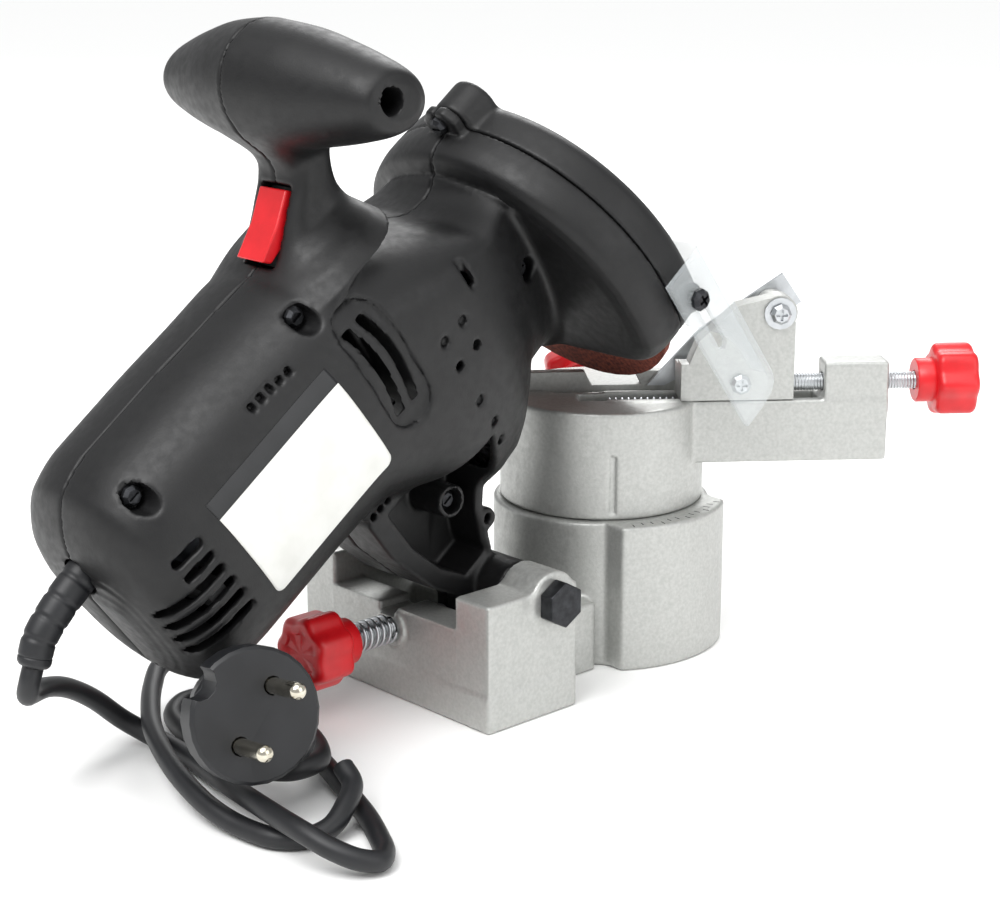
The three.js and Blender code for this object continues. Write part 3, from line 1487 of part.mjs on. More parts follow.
function motorParts(group) {
  const centre = [0, motor.axis];
  const pinionTooth = -Math.PI / 2 + Math.PI / gear.pinionTeeth;
  const pinion = moved(
    extruded("yz", gearOutline(gear.pinionTeeth, pinionTooth), [gearPlace.pinionFrom, gearPlace.pinionTo]),
    new THREE.Matrix4().makeTranslation(0, 0, motor.axis),
  );
  const pinionBore = rod(
    "x",
    bearing.motorBore,
    [gearPlace.pinionFrom - overrun, gearPlace.pinionTo + overrun],
    centre,
    facets.small,
  );
  piece(group, "pinion", cut(pinion, pinionBore), finishes.gearSteel);
  const profile = [
    [0, armature.rear],
    [armature.shaft, armature.rear],
    [armature.shaft, armature.commutatorFrom],
    [armature.commutator, armature.commutatorFrom],
    [armature.commutator, armature.commutatorTo],
    [armature.windingRadius * 0.75, armature.windingFrom],
    [armature.windingRadius, armature.windingFrom + overrun * 2],
    [armature.windingRadius, armature.coreFrom],
    [armature.core, armature.coreFrom],
    [armature.core, armature.coreTo],
    [armature.windingRadius, armature.coreTo],
    [armature.windingRadius, armature.windingTo - overrun * 2],
    [armature.shaft, armature.windingTo],
    [armature.shaft, armature.front],
    [0, armature.front],
  ];
  piece(group, "armature", turned("x", profile, centre, facets.small), finishes.laminations);
  piece(
    group,
    "stator",
    ringSolid(stator.radius, stator.boreRadius, [armature.coreFrom, armature.coreTo], centre, facets.medium),
    finishes.laminations,
  );
  piece(group, "fan", fanSolid(), finishes.carbon);
  piece(
    group,
    "motor_bearing_front",
    ringSolid(bearing.motorOuter, bearing.motorBore, [bearing.motorFrontFrom, bearing.motorFrontTo], centre),
    finishes.gearSteel,
  );
  piece(
    group,
    "motor_bearing_rear",
    ringSolid(bearing.motorOuter, bearing.motorBore, [bearing.motorRearFrom, bearing.motorRearTo], centre),
    finishes.gearSteel,
  );
  for (const [name, side] of [["brush_right", -1], ["brush_left", 1]]) {
    const inner = armature.commutator + touching;
    const span = side < 0 ? [-brush.outer, -inner] : [inner, brush.outer];
    const made = box(
      [brush.u - brush.halfLength, brush.u + brush.halfLength],
      span,
      [motor.axis - brush.halfHeight, motor.axis + brush.halfHeight],
    );
    piece(group, name, made, finishes.carbon);
  }
}

function visorSolid() {
  const inner = visorBoss.outerV + touching;
  const outer = inner + visor.thickness;
  const round = visor.cornerRadius;
  const front = visor.front;
  const plan = new THREE.Shape();
  plan.moveTo(visor.rear, -outer);
  plan.lineTo(front - round, -outer);
  plan.absarc(front - round, -outer + round, round, -Math.PI / 2, 0, false);
  plan.absarc(front - round, outer - round, round, 0, Math.PI / 2, false);
  plan.lineTo(visor.rear, outer);
  plan.lineTo(visor.rear, inner);
  plan.lineTo(front - round, inner);
  plan.absarc(front - round, inner - round + visor.thickness, round - visor.thickness, Math.PI / 2, 0, true);
  plan.absarc(front - round, -inner + round - visor.thickness, round - visor.thickness, 0, -Math.PI / 2, true);
  plan.lineTo(visor.rear, -inner);
  const shell = extruded("xy", plan, [visor.bottom, visor.top], 3);
  const arch = new THREE.Shape();
  const half = visor.archHalfWidth;
  arch.moveTo(-half, visor.bottom - overrun);
  arch.lineTo(half, visor.bottom - overrun);
  arch.lineTo(half, visor.archTop - visor.archCorner);
  arch.quadraticCurveTo(half, visor.archTop, half - visor.archCorner, visor.archTop);
  arch.lineTo(-half + visor.archCorner, visor.archTop);
  arch.quadraticCurveTo(-half, visor.archTop, -half, visor.archTop - visor.archCorner);
  const foot = new THREE.Shape();
  const footRadius = visor.footRadius;
  foot.moveTo(front + overrun, visor.bottom - overrun);
  foot.lineTo(front + overrun, visor.bottom + footRadius);
  foot.lineTo(front, visor.bottom + footRadius);
  foot.quadraticCurveTo(front, visor.bottom, front - footRadius, visor.bottom);
  foot.lineTo(front - footRadius, visor.bottom - overrun);
  const groove = slotOutline(
    [visorBoss.u, visorBoss.w - visor.travel],
    [visorBoss.u, visorBoss.w],
    visorScrew.slotHalfWidth,
  );
  return cut(
    shell,
    extruded("yz", arch, [visor.rear - overrun, front + overrun], 4),
    extruded("xz", foot, [-outer - overrun, outer + overrun], 4),
    extruded("xz", groove, [-outer - overrun, -inner + overrun], 4),
    extruded("xz", groove, [inner - overrun, outer + overrun], 4),
  );
}

function screwParts(group) {
  screwPlaces.forEach(({ u, w, headV }, k) => {
    const seat = -headV - touching;
    const made = screwSolid("y", housingScrew, [seat, -1], [u, w], housingScrew.length, false);
    piece(group, `housing_screw_${k + 1}`, made, finishes.blackSteel);
  });
  piece(
    group,
    "cover_screw",
    screwSolid("x", housingScrew, [hump.tabRear - touching, -1], [0, coverScrew.w], coverScrew.length, false),
    finishes.blackSteel,
  );
  const seat = visorBoss.outerV + touching * 2 + visor.thickness;
  for (const [name, sign] of [["visor_screw_right", -1], ["visor_screw_left", 1]]) {
    const made = screwSolid("y", visorScrew, [seat * sign, sign], [visorBoss.u, visorBoss.w], visorScrew.length);
    piece(group, name, made, finishes.blackSteel);
  }
}

function switchGroup() {
  const group = new THREE.Group();
  switchMatrix.decompose(group.position, group.quaternion, group.scale);
  const span = [-rocker.halfWidth, rocker.halfWidth];
  const floor = -switchHole.depth + touching;
  const bodySolid = box(
    [-switchHole.halfLength + touching, switchHole.halfLength - touching],
    [-switchHole.halfWidth + touching, switchHole.halfWidth - touching],
    [floor, -rocker.bodyTop],
  );
  piece(group, "switch_body", bodySolid, finishes.housing);
  const shape = outline([
    [-rocker.halfLength, rocker.lowFoot],
    [-rocker.seatHalf, -rocker.pivotDepth],
    [rocker.seatHalf, -rocker.pivotDepth],
    [rocker.halfLength, -rocker.highFoot],
    [rocker.halfLength, -rocker.highDrop],
    [0, rocker.middleRise],
    [-rocker.halfLength, rocker.lowRise],
  ]);
  const underside = rod("y", rocker.bodyTop - rocker.pivotDepth - touching, span, [0, -rocker.pivotDepth], facets.small);
  piece(group, "rocker", joined(extruded("xz", shape, span), underside), finishes.red);
  return group;
}

function headGroup() {
  const group = new THREE.Group();
  headMatrix.decompose(group.position, group.quaternion, group.scale);
  const { right, left } = housingHalves();
  piece(group, "housing_right", right, finishes.housing);
  piece(group, "housing_left", left, finishes.housing);
  piece(group, "wheel_cover", wheelCover(), finishes.housing);
  piece(group, "visor", visorSolid(), finishes.clear);
  spindleParts(group);
  motorParts(group);
  screwParts(group);
  group.add(switchGroup());
  return group;
}

// The strain relief, the cord in three stretches, and the two-pin plug.
function cordGroup() {
  const group = new THREE.Group();
  const curve = reliefCurve();
  const taper = (share) => relief.rootRadius + (relief.tipRadius - relief.rootRadius) * share;
  piece(group, "strain_relief", swept(curve, relief.steps, relief.sides, taper), finishes.rubber);

  const whole = new THREE.CatmullRomCurve3(cordPoints.map((point) => new THREE.Vector3(...point)));
  const length = whole.getLength();
  const placeOf = (k) => {
    const lengths = whole.getLengths(cordPoints.length * 20 - 20);
    return lengths[k * 20] / length;
  };
  const halfGap = touching / 2 / length;
  const leadEnd = placeOf(cordSplits.lead);
  const tailStart = placeOf(cordSplits.tail);
  const section = outline(angles(cord.sides).map((angle) => [Math.cos(angle) * cord.radius, Math.sin(angle) * cord.radius]));
  const tube = (from, to, steps) => {
    const options = { steps, bevelEnabled: false, extrudePath: new Stretch(whole, from, to) };
    return solid(new THREE.ExtrudeGeometry(section, options));
  };
  piece(group, "cord_lead", tube(0, leadEnd - halfGap, cord.leadSteps), finishes.rubber);
  const coil = new Stretch(whole, leadEnd + halfGap, tailStart - halfGap);
  piece(group, "cord_coil", swept(coil, cord.coilSteps, cord.coilSides, () => cord.radius), finishes.rubber);
  piece(group, "cord_tail", tube(tailStart + halfGap, 1, cord.tailSteps), finishes.rubber);
  console.log("least gap of the coiled cord to itself", leastGap(coil).toFixed(2), "mm");

  const across = plugAxis.clone().cross(plugPinLine).normalize();
  const pinLine = across.clone().cross(plugAxis).normalize();
  const plugMatrix = new THREE.Matrix4().makeBasis(across, pinLine.clone().negate(), plugAxis);
  plugMatrix.setPosition(plug.faceX, plug.faceY, plug.faceZ);
  piece(group, "plug", moved(plugSolid(), plugMatrix), finishes.rubber);
  for (const [name, side] of [["plug_pin_upper", 1], ["plug_pin_lower", -1]]) {
    const centre = [0, plug.pinHalfSpacing * side];
    const tip = plug.pinLength - plug.pinRadius;
    const profile = [
      [0, -plug.pinDepth],
      [plug.pinRadius, -plug.pinDepth],
      [plug.pinRadius, tip],
      [plug.pinRadius * 0.85, tip + plug.pinRadius * 0.6],
      [plug.pinRadius * 0.45, plug.pinLength],
      [0, plug.pinLength],
    ];
    piece(group, name, moved(turned("z", profile, centre, facets.small), plugMatrix), finishes.nickel);
  }
  return group;
}

// The plug in its own frame: z points out of its face, x along the sleeve that the cord enters.
function plugSolid() {
  const profile = [
    [0, -plug.thickness - plug.backDepth],
    [plug.backRadius, -plug.thickness - plug.backDepth],
    [plug.backRadius + overrun * 2, -plug.thickness],
    [plug.radius - overrun, -plug.thickness],
    [plug.radius, -plug.thickness + overrun],
    [plug.radius, -overrun],
    [plug.radius - overrun, 0],
    [0, 0],
  ];
  const sleeve = rod(
    "x",
    plug.sleeveRoot,
    [0, plug.sleeveEnd],
    [0, -plug.thickness],
    facets.small,
    plug.sleeveTip,
  );
  const whole = joined(turned("z", profile, [0, 0], facets.large), sleeve);
  const notches = [-1, 1].map((side) =>
    rod("z", plug.notchRadius, [-plug.thickness - overrun, overrun], [plug.radius * side * -1, 0], facets.small),
  );
  const pinHoles = [-1, 1].map((side) =>
    rod(
      "z",
      plug.pinRadius + touching,
      [-plug.pinDepth - touching, overrun],
      [0, plug.pinHalfSpacing * side],
      facets.small,
    ),
  );
  return cut(whole, notches[1], ...pinHoles);
}

// The least gap between stretches of a tube that lie further apart along it than a bend.
function leastGap(curve) {
  const points = curve.getSpacedPoints(600);
  const step = curve.getLength() / 600;
  const apart = Math.ceil((cord.radius * 8) / step);
  let least = Infinity;
  for (let a = 0; a < points.length; a += 1) {
    for (let b = a + apart; b < points.length; b += 1) {
      least = Math.min(least, points[a].distanceTo(points[b]));
    }
  }
  return least - cord.radius * 2;
}

const root = new THREE.Group();
root.add(baseGroup(), viseGroup(), headGroup(), cordGroup());
root.updateMatrixWorld(true);

export default root;
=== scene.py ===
import json
import math

import bmesh
import bpy
import numpy as np
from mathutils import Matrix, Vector

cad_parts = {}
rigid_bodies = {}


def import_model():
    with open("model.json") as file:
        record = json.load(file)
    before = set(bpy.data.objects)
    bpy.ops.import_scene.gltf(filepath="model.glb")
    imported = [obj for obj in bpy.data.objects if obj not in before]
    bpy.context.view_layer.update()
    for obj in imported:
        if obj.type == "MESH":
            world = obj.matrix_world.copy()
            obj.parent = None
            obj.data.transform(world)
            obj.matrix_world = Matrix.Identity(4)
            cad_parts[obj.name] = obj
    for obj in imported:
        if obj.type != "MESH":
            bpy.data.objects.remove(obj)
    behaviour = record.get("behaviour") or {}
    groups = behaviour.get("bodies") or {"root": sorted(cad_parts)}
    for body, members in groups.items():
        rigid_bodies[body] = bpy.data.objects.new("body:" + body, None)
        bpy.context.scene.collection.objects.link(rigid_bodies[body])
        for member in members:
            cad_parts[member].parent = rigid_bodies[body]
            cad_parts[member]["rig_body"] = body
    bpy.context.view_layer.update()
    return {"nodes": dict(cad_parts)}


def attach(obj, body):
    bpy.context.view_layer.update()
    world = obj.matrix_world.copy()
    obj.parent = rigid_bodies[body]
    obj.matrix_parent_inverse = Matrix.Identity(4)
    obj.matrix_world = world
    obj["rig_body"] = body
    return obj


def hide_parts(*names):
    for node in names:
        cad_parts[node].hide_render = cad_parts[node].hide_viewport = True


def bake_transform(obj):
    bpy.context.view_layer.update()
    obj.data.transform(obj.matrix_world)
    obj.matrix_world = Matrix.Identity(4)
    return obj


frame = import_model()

mm = 0.001

# camera: a long lens, level with the bench edge and looking down on the sharpener from behind its right side
cameraSettings = {
    "place": (-0.52583, -0.51397, 0.26785),
    "aim": (0.6559, 0.7053, -0.2691),
    "focal": 79.2,
    "sensor": 36,
    "nearest": 0.05,
    "furthest": 20,
}
cameraData = bpy.data.cameras.new("camera")
cameraData.lens = cameraSettings["focal"]
cameraData.sensor_width = cameraSettings["sensor"]
cameraData.clip_start = cameraSettings["nearest"]
cameraData.clip_end = cameraSettings["furthest"]
camera = bpy.data.objects.new("camera", cameraData)
camera.location = cameraSettings["place"]
camera.rotation_euler = Vector(cameraSettings["aim"]).to_track_quat("-Z", "Y").to_euler()
bpy.context.scene.collection.objects.link(camera)
bpy.context.scene.camera = camera
print("camera placed")


# helpers for meshes

# Points in metres and quads or triangles become one object that rides on a body.
def newPiece(name, points, faces, material, body, smooth=40):
    mesh = bpy.data.meshes.new(name)
    mesh.from_pydata(np.asarray(points, float).tolist(), [], [list(face) for face in faces])
    mesh.validate()
    mesh.materials.append(material)
    piece = bpy.data.objects.new(name, mesh)
    bpy.context.scene.collection.objects.link(piece)
    shadeSmooth(mesh, smooth)
    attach(piece, body)
    return piece


# Smooth shading, with an edge kept sharp where its two faces meet at more than the angle.
def shadeSmooth(mesh, angle):
    mesh.shade_smooth()
    mesh.set_sharp_from_angle(angle=math.radians(angle))


# Quads of a grid of points numbered row after row: each joins two neighbours in a row with the same two
# in the row after. Closed columns join a row's last point to its first.
def gridFaces(rows, columns, closedColumns=True):
    last = columns if closedColumns else columns - 1
    row, column = np.meshgrid(np.arange(rows - 1), np.arange(last), indexing="ij")
    following = (column + 1) % columns
    quads = [row * columns + column, row * columns + following,
             (row + 1) * columns + following, (row + 1) * columns + column]
    return np.stack(quads, -1).reshape(-1, 4)


# Rings of equal size, each joined to the next, and closed at both ends by a fan about the ring's mean.
def cappedGrid(rings):
    rows, columns = rings.shape[:2]
    points = np.vstack([rings.reshape(-1, 3), rings[0].mean(0), rings[-1].mean(0)])
    faces = [tuple(quad) for quad in gridFaces(rows, columns)]
    step = np.arange(columns)
    after = (step + 1) % columns
    low, high = rows * columns, rows * columns + 1
    base = (rows - 1) * columns
    faces += list(zip(after.tolist(), step.tolist(), [low] * columns))
    faces += list(zip((base + step).tolist(), (base + after).tolist(), [high] * columns))
    return points, faces


# A section carried along a path: its points lie x times the side and y times the up from each of the
# path's points. The side is the last one less its part along the path, so it turns as little as it can.
def alongPath(path, section):
    path = np.asarray(path, float)
    tangent = np.gradient(path, axis=0)
    tangent /= np.linalg.norm(tangent, axis=1, keepdims=True)
    side = np.cross(tangent[0], [0.3, 0.2, 1])
    side /= np.linalg.norm(side)
    rings = []
    for place, ahead, shape in zip(path, tangent, section):
        side = side - ahead * side.dot(ahead)
        side /= np.linalg.norm(side)
        up = np.cross(ahead, side)
        rings.append(place + shape[:, :1] * side + shape[:, 1:] * up)
    return np.array(rings)


# A cubic over each span of the points. A span's pace is the square root of its chord, and a slope is
# the slope before plus the slope after less the slope across both, with the ends carried on straight.
def throughPoints(points, perSpan):
    points = np.asarray(points, float)
    before = 2 * points[0] - points[1]
    after = 2 * points[-1] - points[-2]
    whole = np.vstack([before, points, after])
    pace = np.sqrt(np.linalg.norm(np.diff(whole, axis=0), axis=1))[:, None]
    p0, p1, p2, p3 = whole[:-3], whole[1:-2], whole[2:-1], whole[3:]
    d0, d1, d2 = pace[:-2], pace[1:-1], pace[2:]
    leave = ((p1 - p0) / d0 - (p2 - p0) / (d0 + d1) + (p2 - p1) / d1) * d1
    arrive = ((p2 - p1) / d1 - (p3 - p1) / (d1 + d2) + (p3 - p2) / d2) * d1
    t = np.linspace(0, 1, perSpan, endpoint=False)[None, :, None]
    a, b, c, d = (x[:, None, :] for x in (p1, leave, arrive, p2))
    spans = a + b * t + (3 * (d - a) - 2 * b - c) * t ** 2 + (2 * (a - d) + b + c) * t ** 3
    return np.vstack([spans.reshape(-1, 3), points[-1]])


# helpers for materials

# sRGB hex to linear: the value over 12.92 up to 0.04045, and above it the value plus 0.055, over 1.055,
# to the power 2.4.
def hexColour(code):
    values = [int(code[k:k + 2], 16) / 255 for k in (1, 3, 5)]
    return tuple(v / 12.92 if v <= 0.04045 else ((v + 0.055) / 1.055) ** 2.4 for v in values) + (1,)


# One node with its settings, its sockets' values, and links into its sockets.
def addNode(tree, kind, settings=None, links=None):
    node = tree.nodes.new(kind)
    for name, value in (settings or {}).items():
        if hasattr(node, name):
            setattr(node, name, value)
        else:
            node.inputs[name].default_value = value
    for name, source in (links or {}).items():
        tree.links.new(source, node.inputs[name])
    return node


# A material with one shader, whose sockets take the values given. With it come its tree, its shader and
# each place in the object's own coordinates.
def newMaterial(name, shader):
    material = bpy.data.materials.new(name)
    material.use_nodes = True
    tree = material.node_tree
    tree.nodes.clear()
    surface = addNode(tree, "ShaderNodeBsdfPrincipled", shader)
    output = addNode(tree, "ShaderNodeOutputMaterial")
    tree.links.new(surface.outputs[0], output.inputs["Surface"])
    place = addNode(tree, "ShaderNodeTexCoord").outputs["Object"]
    return material, tree, surface, place


# Fine relief: noise whose grains are about size mm across and depth mm deep.
def grainBump(tree, surface, place, size, depth, detail=3):
    noise = addNode(tree, "ShaderNodeTexNoise", {"Scale": 1 / (size * mm), "Detail": detail},
                    {"Vector": place})
    bump = addNode(tree, "ShaderNodeBump", {"Distance": depth * mm}, {"Height": noise.outputs["Fac"]})
    tree.links.new(bump.outputs["Normal"], surface.inputs["Normal"])


# A slow wander between two tones: noise with grains size mm across, whose middle third spans them.
def mottled(tree, surface, place, socket, size, dark, light):
    noise = addNode(tree, "ShaderNodeTexNoise", {"Scale": 1 / (size * mm), "Detail": 4}, {"Vector": place})
    ramp = addNode(tree, "ShaderNodeValToRGB", None, {"Fac": noise.outputs["Fac"]})
    for element, position, tone in zip(ramp.color_ramp.elements, (0.35, 0.65), (dark, light)):
        element.position = position
        element.color = tone
    tree.links.new(ramp.outputs["Color"], surface.inputs[socket])


# One finish: the shader's own values, relief of a grain's size and depth, two colours and the size of
# their patches, and for some two roughnesses and the size of theirs.
def finish(name, shader, grain, tones, sheen=None):
    material, tree, surface, place = newMaterial(name, shader)
    grainBump(tree, surface, place, *grain)
    size, dark, light = tones
    mottled(tree, surface, place, "Base Color", size, hexColour(dark), hexColour(light))
    if sheen:
        size, least, most = sheen
        mottled(tree, surface, place, "Roughness", size, (least, least, least, 1), (most, most, most, 1))
    return material


# Die-cast aluminium, blasted: pale warm grey, with a soft sheen and a fine grain.
dieCast = finish("dieCastAluminium", {"Metallic": 0.65}, (0.6, 0.05, 4), (1.1, "#b3b4b1", "#bebfbc"),
                 (2.5, 0.4, 0.54))

# Glass-filled nylon, spark-eroded mould: near-black with a faint warm cast, matt and slightly grained.
mouldedBlack = finish("mouldedBlackNylon", {"IOR": 1.45}, (0.55, 0.03), (14, "#0c0c0d", "#101011"),
                      (3, 0.42, 0.52))

# ABS, dyed red and lightly polished: it catches small highlights on its lobes.
mouldedRed = finish("mouldedRedAbs", {"Roughness": 0.34, "IOR": 1.53}, (1.2, 0.012),
                    (8, "#c40f18", "#d4161f"))

# Zinc-plated steel: bright, bluish, a little cloudy.
zincSteel = finish("zincPlatedSteel", {"Metallic": 1}, (0.5, 0.006), (3, "#c3c6c9", "#cdd0d3"),
                   (2, 0.3, 0.36))

# Black-oxide steel: dark, slightly oily, with a dull metal glint.
oxideSteel = finish("blackOxideSteel", {"Metallic": 0.85, "Roughness": 0.42}, (0.5, 0.008),
                    (3, "#2a2b2d", "#3d3e41"))

# Clear polycarbonate, extruded and bent: see-through face on, milkier at a slant and along its edges.
clearSheet, tree, surface, place = newMaterial(
    "clearPolycarbonate", {"Roughness": 0.06, "IOR": 1.58, "Base Color": hexColour("#dfe5e7")})
grainBump(tree, surface, place, 12, 0.002)
facing = addNode(tree, "ShaderNodeLayerWeight", {"Blend": 0.35})
clearness = addNode(tree, "ShaderNodeMapRange", {"To Min": 0.09, "To Max": 0.6},
                    {"Value": facing.outputs["Facing"]})
tree.links.new(clearness.outputs["Result"], surface.inputs["Alpha"])

# Bonded corundum, resin-pressed: dull reddish brown with coarse grit.
bondedGrit = finish("bondedCorundum", {"Roughness": 0.92}, (0.8, 0.16, 5), (1.2, "#4b211b", "#84402f"))

# Soft PVC: charcoal, smooth, with a waxy sheen.
softPvc = finish("softPvc", {"Roughness": 0.48, "IOR": 1.5}, (1.5, 0.012), (10, "#121316", "#191a1d"))

# Nickel-plated brass: pale, warm and almost mirror-like.
nickelPin = finish("nickelPlatedBrass", {"Metallic": 1, "Roughness": 0.18}, (0.9, 0.004),
                   (4, "#c9c3b2", "#ded9cb"))

# Machined steel: mid grey, in slightly brighter and darker patches.
cutSteel = finish("machinedSteel", {"Metallic": 1, "Roughness": 0.34}, (0.4, 0.008),
                  (2, "#8d8f92", "#acaeb0"))

# Stacked electrical steel: dark grey with fine bands across the shaft.
stackedSteel, tree, surface, place = newMaterial("stackedLaminations", {"Metallic": 0.8, "Roughness": 0.5})
wave = addNode(tree, "ShaderNodeTexWave", {"Scale": 1 / (24 * mm), "Distortion": 0.2}, {"Vector": place})
ramp = addNode(tree, "ShaderNodeValToRGB", None, {"Fac": wave.outputs["Fac"]})
ramp.color_ramp.elements[0].color = hexColour("#4c5056")
ramp.color_ramp.elements[1].color = hexColour("#6b6f75")
tree.links.new(ramp.outputs["Color"], surface.inputs["Base Color"])
bump = addNode(tree, "ShaderNodeBump", {"Distance": 0.04 * mm}, {"Height": wave.outputs["Fac"]})
tree.links.new(bump.outputs["Normal"], surface.inputs["Normal"])

# Moulded nylon fan: black with a slight gloss.
fanNylon = finish("fanNylon", {"Roughness": 0.4, "IOR": 1.53}, (0.8, 0.012), (6, "#1d1d1f", "#28282a"))

# Pressed carbon: soft dark grey with a graphite glint.
pressedCarbon = finish("pressedCarbon", {"Metallic": 0.15, "Roughness": 0.72}, (0.3, 0.02),
                       (1.5, "#232324", "#323233"))

slotMaterials = {
    "cast_aluminium": dieCast, "black_plastic": mouldedBlack, "red_plastic": mouldedRed,
    "zinc_steel": zincSteel, "black_steel": oxideSteel, "clear_plastic": clearSheet, "abrasive": bondedGrit,
    "rubber": softPvc, "nickel": nickelPin, "gear_steel": cutSteel, "laminations": stackedSteel,
    "black_nylon": fanNylon, "carbon": pressedCarbon,
}
# the nodes that take each slot of the record
slotNodes = {
    "cast_aluminium": ["base_casting", "vise_body", "clamp_plate", "chain_carriage"],
    "black_plastic": ["housing_right", "housing_left", "wheel_cover", "switch_body"],
    "red_plastic": ["depth_knob", "clamp_knob", "adjusting_knob", "rocker"],
    "zinc_steel": ["hinge_nut", "depth_screw", "depth_spring", "swivel_bolt", "swivel_washer",
                   "clamp_screw", "carriage_screw", "pawl_screw", "pawl_washer", "stop_spring",
                   "adjusting_screw", "stop_pawl"],
    "black_steel": ["hinge_bolt", "cover_screw", "housing_screw_1", "housing_screw_2", "housing_screw_3",
                    "housing_screw_4", "housing_screw_5", "visor_screw_right", "visor_screw_left"],
    "clear_plastic": ["visor"],
    "abrasive": ["grinding_wheel"],
    "rubber": ["base_pad", "cord_lead", "cord_coil", "cord_tail", "plug", "strain_relief"],
    "nickel": ["plug_pin_upper", "plug_pin_lower"],
    "gear_steel": ["spindle_bearing_front", "spindle_bearing_rear", "motor_bearing_front",
                   "motor_bearing_rear", "spindle", "inner_flange", "outer_flange", "wheel_nut",
                   "spindle_gear", "pinion"],
    "laminations": ["stator", "armature"],
    "black_nylon": ["fan"],
    "carbon": ["brush_right", "brush_left"],
}
nodeSlot = {name: slotName for slotName, names in slotNodes.items() for name in names}
print("materials made")

# the cord, from the strain relief's tip over the bench to the plug
cordSettings = {
    "radius": 3.1,
    "sides": 16,
    "perSpan": 14,
    "route": [
        (-227.15, 0, 44.55), (-228.5, 0, 40.6), (-227.9, 2.6, 36), (-223.4, 8, 33.4), (-214.5, 14.7, 31),
        (-204.5, 20, 26.6), (-193.5, 23.6, 19), (-183.3, 24, 9.4), (-178.2, 19.5, 5), (-176.6, 11, 3.5),
        (-176.9, 1, 3.3), (-178.4, -9, 3.6), (-182.2, -22.1, 5.5), (-187.3, -39, 8.2), (-191.2, -54.3, 10.2),
        (-193.2, -67.9, 10.8), (-193.6, -79.7, 10.4), (-191.2, -87.9, 8), (-186.6, -93.6, 5.4),
        (-181, -95.4, 3.8), (-175.8, -91.4, 3.3), (-171.6, -84.4, 3.3), (-165.2, -71.6, 3.3),
        (-159.1, -56.1, 3.3), (-152.2, -38.2, 3.3), (-145.6, -18.8, 3.3), (-139, 2, 3.3), (-137, 18, 3.3),
        (-141, 31, 3.4), (-151, 36, 3.5), (-161.5, 29, 3.5), (-167, 15, 3.5), (-169.8, -3, 4),
        (-173.4, -20, 6), (-175, -34, 9), (-170, -44, 10.4), (-161, -44, 10.6), (-153.5, -34, 10.6),
        (-148, -18, 10.4), (-143, -2, 10.3), (-138, 14, 10.6), (-134, 30, 12), (-137, 42, 14),
        (-147, 46, 15), (-157, 42, 14.6), (-166.4, 32.3, 13.6), (-174.7, 21.4, 12.8), (-183, 8.2, 11.4),
        (-190.1, -8.4, 9.8), (-195.3, -26.3, 8), (-196.6, -40.7, 5.5), (-195.1, -52.7, 3.6),
        (-192.3, -64.1, 3.3), (-186, -69.9, 3.3), (-178.7, -71.6, 4.8), (-170.8, -68.8, 8.2),
        (-164.2, -63.6, 10.8), (-162.6, -57.6, 13.6),
    ],
}
cordPath = throughPoints(cordSettings["route"], cordSettings["perSpan"]) * mm
turn = np.linspace(0, 2 * math.pi, cordSettings["sides"], endpoint=False)
cordSection = np.stack([np.cos(turn), np.sin(turn)], -1) * cordSettings["radius"] * mm
cordPoints, cordFaces = cappedGrid(alongPath(cordPath, [cordSection] * len(cordPath)))
mainsCord = newPiece("mains_cord", cordPoints, cordFaces, softPvc, "base")
# the cord has no parent: its place is baked into its points
mainsCord.parent = None
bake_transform(mainsCord)
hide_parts("cord_lead", "cord_coil", "cord_tail")

# helpers for moulded and cast shapes. A shape is a field: each place's distance from its skin in
# millimetres, less than nought inside, worked out for a whole block of places at once

# A cubic over each span of the rows of values. Its slope at a row is the harmonic mean of the slopes
# beside it, weighted by the spans, and nought where the values turn.
def easedRows(places, values, where):
    places, values, where = (np.asarray(x, float) for x in (places, values, where))
    step = np.diff(places)
    slope = np.diff(values) / step
    tangent = np.zeros_like(values)
    tangent[0], tangent[-1] = slope[0], slope[-1]
    before, after = slope[:-1], slope[1:]
    same = before * after > 0
    wide, near = 2 * step[1:] + step[:-1], step[1:] + 2 * step[:-1]
    safeBefore, safeAfter = np.where(same, before, 1), np.where(same, after, 1)
    tangent[1:-1] = np.where(same, (wide + near) / (wide / safeBefore + near / safeAfter), 0)
    k = np.clip(np.searchsorted(places, where, "right") - 1, 0, len(step) - 1)
    t = np.clip((where - places[k]) / step[k], 0, 1)
    a, b, c, d = values[k], values[k + 1], tangent[k] * step[k], tangent[k + 1] * step[k]
    return a + c * t + (3 * (b - a) - 2 * c - d) * t ** 2 + (2 * (a - b) + c + d) * t ** 3


# Reach from the middle less the outline's reach on the same line, where the outline is |x / halfX| to
# the power plus |y / halfY| to the power = 1.
def ovalField(x, y, halfX, halfY, power):
    share = (np.abs(x / halfX) ** power + np.abs(y / halfY) ** power) ** (1 / power)
    leastShare = 0.02
    return np.hypot(x, y) * (1 - 1 / np.maximum(share, leastShare))


# The nearer of two shapes, with a fillet: b changes to a as a's distance falls from a radius above b's
# to a radius below it, and radius times share times the rest is taken off.
def merged(a, b, radius):
    share = np.clip(0.5 + 0.5 * (b - a) / radius, 0, 1)
    return b + (a - b) * share - radius * share * (1 - share)


# The first shape less the second: what is outside the first merged with the second, turned inside out.
def without(a, b, radius=0.3):
    return -merged(-a, b, radius)


